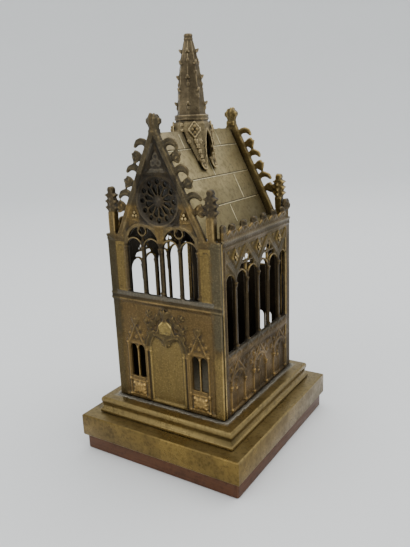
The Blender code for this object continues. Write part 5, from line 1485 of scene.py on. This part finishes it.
@dataclass
class Roof:
    """The folded roof sheet with its joints: lips with a painted highlight and lines of painted shadow."""

    ends: Point2 = (-38.6, 35.4)
    rows: tuple[float, ...] = (179.3, 163.2, 148.0)
    foot: float = 137.0
    uprights: tuple[tuple[float, ...], ...] = ((-21.6, 16.8), (-3.0,), (17.0,), (-1.3,))
    shadow_rise: float = 0.55
    edge: float = 0.3
    smooth_angle: float = 30.0

    def line(self, side: float, ends: Sequence[Point2], proud: float, radius: float) -> Object:
        """Thin rib on a slope.

        Args:
            side: -1 for the left slope and 1 for the right one.
            ends: place along the ridge and height of each end.
            proud: distance of its middle off the sheet.
            radius: radius of its section.

        Returns:
            The rib.
        """
        slope = CHAPEL.roof_slope
        run = math.hypot(1.0, slope)
        path = []
        for y, z in ends:
            path.append((side * ((CHAPEL.ridge - z) / slope + proud * slope / run), y, z + proud / run))
        return Bench.rod(path, radius)

    def build(self, material: Material, light: Material, dark: Material, slot: str) -> None:
        """Build the sheet and its joint lines.

        Args:
            material: the sheet's finish.
            light: finish of the lips of the joints, a painted highlight.
            dark: finish of the dark lines above them, a painted shadow.
            slot: the record's material slot.
        """
        limit = math.radians(self.smooth_angle)
        sheet = Bench.merged_copy("roof", "roof_sheet")
        Bench.modify(sheet, "BEVEL", width=self.edge * MM, segments=2, limit_method="ANGLE", angle_limit=limit)
        Bench.smooth(sheet, self.smooth_angle)
        finish_piece(sheet, material, slot, "roof")
        # Light lips carry a painted highlight; the dark lines above them are painted shadow.
        highlight_lips, shadow_lines = [], []
        levels = (CHAPEL.ridge - 1.0,) + self.rows + (self.foot,)
        for side in SIDES:
            for z in self.rows:
                highlight_lips.append(self.line(side, [(y, z) for y in self.ends], 0.03, 0.27))
                shadow_lines.append(self.line(side, [(y, z + self.shadow_rise) for y in self.ends], 0.0, 0.22))
            for row, places in enumerate(self.uprights):
                for y in places:
                    ends = [(y, levels[row] - 0.8), (y, levels[row + 1] + 0.6)]
                    highlight_lips.append(self.line(side, ends, 0.05, 0.24))
        finish_piece(Bench.join(highlight_lips, "roof_joint_highlight_lips"), light, slot)
        finish_piece(Bench.join(shadow_lines, "roof_joint_shadow_lines"), dark, slot)


@dataclass
class Plinth:
    """Board, slab and step, and the rough solder round the walls' feet."""

    solder_radius: float = 1.5
    solder_out: float = 0.9
    solder_pitch: float = 0.9
    solder_sink: float = 0.25
    solder_voxel: float = 0.35

    @staticmethod
    def block(node: str, name: str, material: Material, slot: str, width: float) -> None:
        """Round the edges of one block.

        Args:
            node: the solid.
            name: name of the piece.
            material: its finish.
            slot: the record's material slot.
            width: width of the rounding.
        """
        item = Bench.merged_copy(node, name)
        limit = math.radians(18.0)
        Bench.modify(item, "DECIMATE", decimate_type="DISSOLVE", angle_limit=math.radians(1.0))
        Bench.modify(item, "BEVEL", width=width * MM, segments=3, limit_method="ANGLE", angle_limit=limit)
        Bench.modify(item, "TRIANGULATE")
        Bench.smooth(item, 35.0)
        finish_piece(item, material, slot, node)

    def solder(self, material: Material, slot: str) -> None:
        """Rough beads of solder along the feet of the four walls.

        Args:
            material: its finish.
            slot: the record's material slot.
        """
        rng = random.Random(3)
        half_x, half_y = CHAPEL.half_width, CHAPEL.half_depth
        corners = [(-half_x, -half_y), (half_x, -half_y), (half_x, half_y), (-half_x, half_y)]
        master = Bench.settle(Bench.ball((0.0, 0.0, 0.0), (1.0, 1.0, 1.0)))
        drops = []
        for (x0, y0), (x1, y1) in zip(corners, corners[1:] + corners[:1]):
            length = math.hypot(x1 - x0, y1 - y0)
            steps = int(length / self.solder_pitch)
            for step in range(steps):
                share = step / steps
                size = self.solder_radius * rng.uniform(0.7, 1.2)
                out = self.solder_out * rng.uniform(0.7, 1.2)
                x = x0 + (x1 - x0) * share + out * (y1 - y0) / length
                y = y0 + (y1 - y0) * share - out * (x1 - x0) / length
                place = Matrix.Translation(metres((x, y, CHAPEL.wall_foot - self.solder_sink)))
                flat = Matrix.Diagonal((size, size, size * rng.uniform(0.30, 0.45), 1.0))
                drops.append(Bench.copy(master, place @ flat))
        Bench.drop([master])
        bead = Bench.join(drops, "solder_bead")
        Bench.cast(bead, self.solder_voxel, 1)
        finish_piece(bead, material, slot)


@dataclass
class Seams:
    """Solder drawn down the gap between the walls at each corner."""

    half_x: float = 37.15
    front: float = -40.75
    back: float = 37.55
    low: float = 33.6
    high: float = 133.0
    radius: float = 0.48

    def build(self, material: Material, slot: str) -> None:
        """Build the four seams with a finish."""
        lines = []
        for x in (-self.half_x, self.half_x):
            for y in (self.front, self.back):
                lines.append(Bench.rod([(x, y, self.low), (x, y, self.high)], self.radius))
        finish_piece(Bench.join(lines, "corner_seams"), material, slot)


@dataclass
class Studio:
    """Pale floor, soft light and the camera. The floor and the lamps are in metres."""

    place: Point3 = (182.54, -283.80, 194.49)
    forward: Point3 = (-0.52136, 0.81253, -0.26074)
    roll: float = -2.389
    lens: float = 37.357
    sensor: float = 36.0
    flat: float = 1.3
    rise: float = 1.6
    rise_steps: int = 16
    sky: Colour = (0.93, 0.97, 1.0)
    sky_strength: float = 1.09
    target: Point3 = (0.0, 0.0, 0.1)
    lamps: tuple[tuple[str, Point3, float, float, Colour], ...] = (
        ("window", (0.8, 0.7, 1.3), 1.4, 6.0, (1.0, 0.98, 0.95)),
        ("above", (0.1, 0.2, 1.6), 1.6, 13.0, (1.0, 1.0, 1.0)),
        ("fill", (-0.35, -1.3, 0.8), 1.2, 6.0, (1.0, 0.99, 0.97)),
    )

    def camera(self) -> None:
        """Camera at the photograph's place and angle."""
        data = bpy.data.cameras.new("view")
        data.lens = self.lens
        data.sensor_width = self.sensor
        data.sensor_fit = "AUTO"
        data.clip_start = 0.01
        data.clip_end = 20.0
        item = bpy.data.objects.new("view", data)
        bpy.context.scene.collection.objects.link(item)
        forward = Vector(self.forward).normalized()
        right = forward.cross(Vector((0.0, 0.0, 1.0))).normalized()
        up = right.cross(forward)
        cosine, sine = polar(self.roll)
        turn = Matrix((right * cosine + up * sine, up * cosine - right * sine, -forward)).transposed()
        item.matrix_world = Matrix.Translation(Vector(self.place) * MM) @ turn.to_4x4()
        bpy.context.scene.camera = item

    def floor(self) -> None:
        """Large pale sheet that curves up far away on every side."""
        Bench.pick()
        bpy.ops.mesh.primitive_circle_add(
            vertices=96, radius=self.flat, fill_type="NGON", location=(0.0, 0.0, -0.0002)
        )
        item = bpy.context.object
        item.name = "floor"
        bpy.ops.object.mode_set(mode="EDIT")
        bpy.ops.mesh.select_all(action="SELECT")
        radius, height = self.flat, 0.0
        for step in range(1, self.rise_steps + 1):
            turn = math.pi / 2 * step / self.rise_steps
            wide = self.flat + self.rise * math.sin(turn)
            tall = self.rise * (1.0 - math.cos(turn))
            bpy.ops.mesh.select_mode(type="EDGE")
            if step == 1:
                bpy.ops.mesh.region_to_loop()
            bpy.ops.mesh.extrude_edges_move(TRANSFORM_OT_translate={"value": (0.0, 0.0, tall - height)})
            bpy.ops.transform.resize(value=(wide / radius, wide / radius, 1.0), center_override=(0.0, 0.0, tall))
            radius, height = wide, tall
        bpy.ops.object.mode_set(mode="OBJECT")
        bpy.ops.object.shade_smooth()
        graph, material, vector, shader = Graph.of_material("pale_paper")
        paper = graph.mix(graph.noise(vector, 3.0, 2.0), (0.745, 0.75, 0.745), (0.775, 0.78, 0.775))
        graph.feed(shader["Base Color"], paper)
        graph.feed(shader["Roughness"], 0.85)
        item.data.materials.append(material)

    def light(self) -> None:
        """Soft light from above and behind on the right, a weaker fill from the front and a pale sky."""
        world = bpy.data.worlds.new("studio")
        bpy.context.scene.world = world
        world.use_nodes = True
        background = world.node_tree.nodes["Background"]
        background.inputs["Color"].default_value = (*self.sky, 1.0)
        background.inputs["Strength"].default_value = self.sky_strength
        for name, place, size, power, colour in self.lamps:
            data = bpy.data.lights.new(name, "AREA")
            data.shape = "SQUARE"
            data.size = size
            data.energy = power
            data.color = colour
            item = bpy.data.objects.new(name, data)
            bpy.context.scene.collection.objects.link(item)
            item.location = place
            item.rotation_euler = (Vector(self.target) - Vector(place)).to_track_quat("-Z", "Y").to_euler()

    def build(self) -> None:
        """Set up everything round the object."""
        self.camera()
        self.floor()
        self.light()


# Tones of the pieces, some of them painted shade

FAR = 60.0
# Painted shade in grooves, openings and under the roof.
PAINTED_SHADE = (0.010, 0.008, 0.006)
ROSE_GREY = (0.064, 0.055, 0.042)


def front_zone(
    low: Point2, high: Point2, colour: Colour, share: float, soft: float = 1.5, quiet: float = 0.0,
    raised: bool = False, inside: bool = False,
) -> Zone:
    """Zone of the front wall, the same on its left and right.

    Args:
        low: least distance from the middle and height.
        high: greatest distance from the middle and height.
        colour: its tone.
        share: how much of the tone it has.
        soft: width of its edge.
        quiet: how much fewer rubbed edges it has.
        raised: whether it only holds what stands proud.
        inside: whether it ends at the roof's planes.

    Returns:
        The zone.
    """
    box = (low[0], 0.0, low[1]), (high[0], FAR, high[1])
    return Zone(*box, colour, share, soft, quiet=quiet, inside=inside, raised=raised)


FRONT_ZONES = (
    front_zone((-1.0, 33.0), (32.5, 95.0), (0.175, 0.112, 0.040), 0.9),
    front_zone((-1.0, 34.0), (12.6, 78.0), (0.250, 0.176, 0.058), 0.9, 0.6),
    front_zone((-1.0, 69.0), (15.6, 95.0), (0.050, 0.037, 0.017), 0.85, 0.5, raised=True),
    front_zone((-1.0, 78.2), (4.2, 85.6), (0.340, 0.250, 0.082), 0.95, 0.5),
    # Painted shadow in the grooves beside the door's jambs.
    front_zone((12.3, 35.0), (13.7, 66.0), PAINTED_SHADE, 0.75, 0.4, 0.7),
    front_zone((16.8, 35.6), (27.0, 45.4), (0.40, 0.26, 0.090), 0.8, 0.6),
    front_zone((16.4, 76.0), (27.0, 90.0), (0.080, 0.056, 0.024), 0.7, 0.8, raised=True),
    front_zone((32.0, 33.0), (39.0, 71.0), (0.265, 0.186, 0.062), 0.85, 4.0),
    front_zone((32.0, 75.5), (39.0, 135.0), (0.110, 0.093, 0.053), 0.9, 3.0, 0.6),
    # Painted shade down the left post of the front, on that side only.
    Zone((-39.0, -FAR, 33.0), (-31.5, 0.0, 135.0), (0.036, 0.028, 0.011), 0.72, 2.0, False, 0.3),
    front_zone((-1.0, 96.7), (38.0, 98.3), (0.034, 0.027, 0.016), 0.7, 0.4, 0.5),
    front_zone((-1.0, 98.5), (33.0, 101.2), (0.150, 0.136, 0.104), 0.9, 0.4, 0.9),
    front_zone((25.4, 101.0), (31.6, 130.0), (0.260, 0.180, 0.056), 0.85, 0.5),
    # Painted shade over the upper windows' lights, jambs and colonettes.
    front_zone((-1.0, 101.2), (24.3, 131.0), (0.026, 0.020, 0.013), 0.9, 0.7, 0.65),
    front_zone((0.0, 131.0), (21.5, 151.0), (0.175, 0.115, 0.039), 0.8),
    front_zone((21.5, 131.0), (29.0, 150.0), (0.095, 0.068, 0.030), 0.75),
    front_zone((0.0, 152.5), (28.0, 240.0), (0.062, 0.053, 0.034), 0.9, 3.0, 0.4),
    front_zone((28.0, 147.0), (FAR, 240.0), (0.046, 0.038, 0.026), 0.9, 2.0, 0.5),
    # Painted shade in the openings of the window heads round the oculi.
    front_zone((3.0, 129.4), (21.5, 138.6), PAINTED_SHADE, 0.85, 1.0, 0.4),
    front_zone((3.0, 129.4), (24.5, 141.6), (0.165, 0.125, 0.062), 0.6, 1.0, raised=True),
    front_zone((29.0, 134.0), (FAR, 147.0), (0.150, 0.104, 0.040), 0.75),
    # Painted shade in the rose's openings.
    front_zone((-1.0, 141.5), (13.4, 168.0), (0.020, 0.017, 0.013), 0.92, 0.8, 0.7),
    front_zone((-1.0, 140.5), (13.6, 158.0), ROSE_GREY, 0.85, 0.8, 0.5, raised=True),
    front_zone((-1.0, 158.0), (9.8, 166.6), ROSE_GREY, 0.85, 0.8, 0.5, raised=True),
    # Painted shade on the gable under the roof's planes.
    front_zone((-1.0, 160.0), (26.0, 240.0), PAINTED_SHADE, 0.80, 4.0, 0.5, inside=True),
    front_zone((-1.0, 169.0), (5.6, 184.0), (0.095, 0.085, 0.066), 0.85, 0.6, raised=True, inside=True),
)
BACK_ZONES = (Zone((0.0, 0.0, 134.0), (FAR, FAR, 240.0), (0.215, 0.160, 0.061), 0.75, 2.0),)
SIDE_ZONES = (
    # Painted shade over the side wall's lights.
    Zone((0.0, -1.0, 72.0), (FAR, 37.6, 112.0), (0.034, 0.026, 0.015), 0.8, 1.0, quiet=0.6),
    Zone((0.0, -1.0, 112.0), (FAR, 37.6, 129.0), (0.128, 0.090, 0.028), 0.85, 1.0),
    Zone((0.0, -1.0, 112.0), (FAR, 37.6, 122.0), (0.058, 0.049, 0.031), 0.7, 0.6, quiet=0.4, raised=True),
    Zone((0.0, 37.9, 33.0), (FAR, 45.0, 135.0), (0.046, 0.035, 0.021), 0.7, 0.8),
    Zone((0.0, -1.0, 69.0), (FAR, 37.6, 72.4), (0.075, 0.066, 0.048), 0.9, 0.4, quiet=0.8),
    Zone((0.0, -1.0, 129.6), (FAR, 45.0, 133.0), (0.060, 0.046, 0.024), 0.75, 0.4, quiet=0.5),
    Zone((0.0, -1.0, 133.0), (FAR, 45.0, 134.3), (0.140, 0.118, 0.076), 0.8, 0.3, quiet=0.5),
    Zone((0.0, -1.0, 134.6), (FAR, 45.0, 138.2), (0.088, 0.063, 0.023), 0.8, 1.0, quiet=0.3),
    Zone((0.0, -1.0, 138.5), (FAR, 45.0, 150.0), (0.034, 0.030, 0.021), 0.9, 1.0, quiet=0.6),
)
WALL_ZONES = {Side.FRONT: FRONT_ZONES, Side.BACK: BACK_ZONES, Side.RIGHT: SIDE_ZONES, Side.LEFT: SIDE_ZONES}


def wall_finish(side: Side) -> BrassFinish:
    """Finish of a wall, whose raised parts take a warmer tone of rubbed wear and painted highlight."""
    outward = side.outward()
    gable = side in (Side.FRONT, Side.BACK)
    return BrassFinish(
        name=side.node + "_brass",
        tarnish=(0.064, 0.044, 0.019) if gable else (0.064, 0.041, 0.016),
        metal=(0.150, 0.098, 0.036) if gable else (0.180, 0.110, 0.036),
        rubbed_and_highlight=(0.42, 0.29, 0.105),
        edge_share=0.85,
        relief_axis=(round(outward.x, 6), round(outward.y, 6), 0.0),
        inner_face=outward.x * side.x + outward.y * side.y,
        shaded_under_roof=gable,
        punch=0.8,
        bump=0.4,
        recess_shade_share=0.85,
        zones=WALL_ZONES[side],
    )


# Brass on the slab and step, with a grey band of solder on the step round the walls
PLINTH_BRASS = BrassFinish(
    name="satin_plinth_brass",
    tarnish=(0.046, 0.029, 0.0070),
    metal=(0.092, 0.059, 0.0140),
    rubbed_and_highlight=(0.20, 0.140, 0.050),
    metallic=0.85,
    bump=0.12,
    rough_low=0.36,
    rough_high=0.52,
    recess_shade_share=0.10,
    corner_share=0.35,
    zones=(
        Zone((-FAR, -FAR, 21.5), (FAR, FAR, 33.0), (0.108, 0.080, 0.031), 0.8, 1.0, False),
        # Painted shadow on the left strip of the slab's top.
        Zone((-FAR, -49.0, 22.2), (-47.2, FAR, 23.6), (0.040, 0.029, 0.010), 0.8, 0.8, False),
        Zone((-1.0, -1.0, 32.2), (40.4, 46.2, 36.0), (0.150, 0.134, 0.100), 0.85, 0.8),
    ),
)
# Roof sheet, pale outside, with painted shade on its inner side and on the front end of its upper part
ROOF_BRASS = BrassFinish(
    name="pale_roof_brass",
    tarnish=(0.105, 0.082, 0.038),
    metal=(0.165, 0.132, 0.063),
    shade_and_grime=(0.004, 0.0035, 0.003),
    rubbed_and_highlight=(0.34, 0.285, 0.15),
    metallic=0.85,
    bump=0.12,
    rough_low=0.48,
    rough_high=0.60,
    shaded_under_roof=True,
    zones=(
        Zone((-FAR, -FAR, 134.0), (FAR, FAR, 157.0), (0.066, 0.052, 0.023), 0.70, 6.0, False),
        # Painted shade on the front end of the roof's upper part, in two steps.
        Zone((-FAR, -FAR, 158.0), (FAR, -14.0, 195.0), (0.070, 0.056, 0.029), 0.65, 8.0, False),
        Zone((-FAR, -FAR, 178.0), (FAR, -5.0, 195.0), (0.090, 0.074, 0.047), 0.8, 5.0, False),
    ),
)
# Dark cone, paler golden drum
SPIRE_BRASS = BrassFinish(
    name="spire_brass_cast",
    tarnish=(0.074, 0.055, 0.030),
    metal=(0.195, 0.150, 0.083),
    rubbed_and_highlight=(0.38, 0.295, 0.16),
    bump=0.35,
    punch=0.5,
    zones=(Zone((-30.0, -30.0, 160.0), (30.0, 20.0, 194.0), (0.305, 0.236, 0.122), 0.8, 1.5, False),),
)
# Painted highlight on the joints' lips and painted shadow in the lines above them.
JOINT_PAINTED_HIGHLIGHT = BrassFinish("joint_painted_highlight", (0.34, 0.30, 0.19), (0.48, 0.42, 0.27), (0.58, 0.52, 0.34))
JOINT_PAINTED_SHADE = BrassFinish("joint_painted_shade", (0.030, 0.023, 0.012), (0.045, 0.034, 0.017), (0.06, 0.045, 0.022))
# Rubbed wear with a painted highlight on the bright beads.
RUBBED_AND_HIGHLIGHT_BEADS = BrassFinish(
    "rubbed_and_highlight_beads", (0.16, 0.115, 0.050), (0.28, 0.205, 0.092), (0.42, 0.32, 0.16),
    rough_low=0.28, rough_high=0.42, edge_share=0.3,
)
SOLDER_GREY = BrassFinish(
    "solder_grey", (0.075, 0.066, 0.048), (0.130, 0.116, 0.088), (0.20, 0.18, 0.14),
    metallic=0.35, bump=0.5, rough_low=0.55, rough_high=0.75, recess_shade_share=0.3, corner_share=0.5,
)
SEAM_BRASS = BrassFinish(
    "seam_brass", (0.120, 0.088, 0.038), (0.190, 0.138, 0.056), (0.24, 0.180, 0.085),
    recess_shade_share=0.15, corner_share=0.2,
)


def main() -> None:
    """Build every piece in order."""
    logging.basicConfig(level=logging.INFO, format="%(name)s: %(message)s")
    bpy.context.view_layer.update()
    effects = SharedEffects()
    ornaments = Ornaments()
    highlight_beads = RUBBED_AND_HIGHLIGHT_BEADS.material(effects)
    plinth_brass = PLINTH_BRASS.material(effects)
    plinth = Plinth()
    plinth.block("base_board", "board", WoodFinish().material(effects), "board_wood", 0.5)
    plinth.block("plinth_slab", "slab", plinth_brass, "plinth_brass", 0.5)
    plinth.block("plinth_step", "step", plinth_brass, "plinth_brass", 0.35)
    plinth.solder(SOLDER_GREY.material(effects), "plinth_brass")
    for maker, side in (
        (GableWall, Side.FRONT), (GableWall, Side.BACK), (SideWall, Side.RIGHT), (SideWall, Side.LEFT),
    ):
        maker(side, ornaments).build(wall_finish(side).material(effects), highlight_beads, "wall_brass")
    Seams().build(SEAM_BRASS.material(effects), "wall_brass")
    joints = JOINT_PAINTED_HIGHLIGHT.material(effects), JOINT_PAINTED_SHADE.material(effects)
    Roof().build(ROOF_BRASS.material(effects), *joints, "roof_brass")
    Spire(ornaments).build(SPIRE_BRASS.material(effects), highlight_beads, "spire_brass")
    ornaments.drop()
    Studio().build()
    bpy.context.view_layer.update()


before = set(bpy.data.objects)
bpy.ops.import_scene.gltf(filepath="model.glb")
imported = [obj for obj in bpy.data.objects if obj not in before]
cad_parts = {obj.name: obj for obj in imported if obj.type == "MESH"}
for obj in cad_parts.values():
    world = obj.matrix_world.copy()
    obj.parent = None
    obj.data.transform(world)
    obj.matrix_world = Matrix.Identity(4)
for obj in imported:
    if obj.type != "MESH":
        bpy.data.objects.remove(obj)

if __name__ == "__main__":
    main()
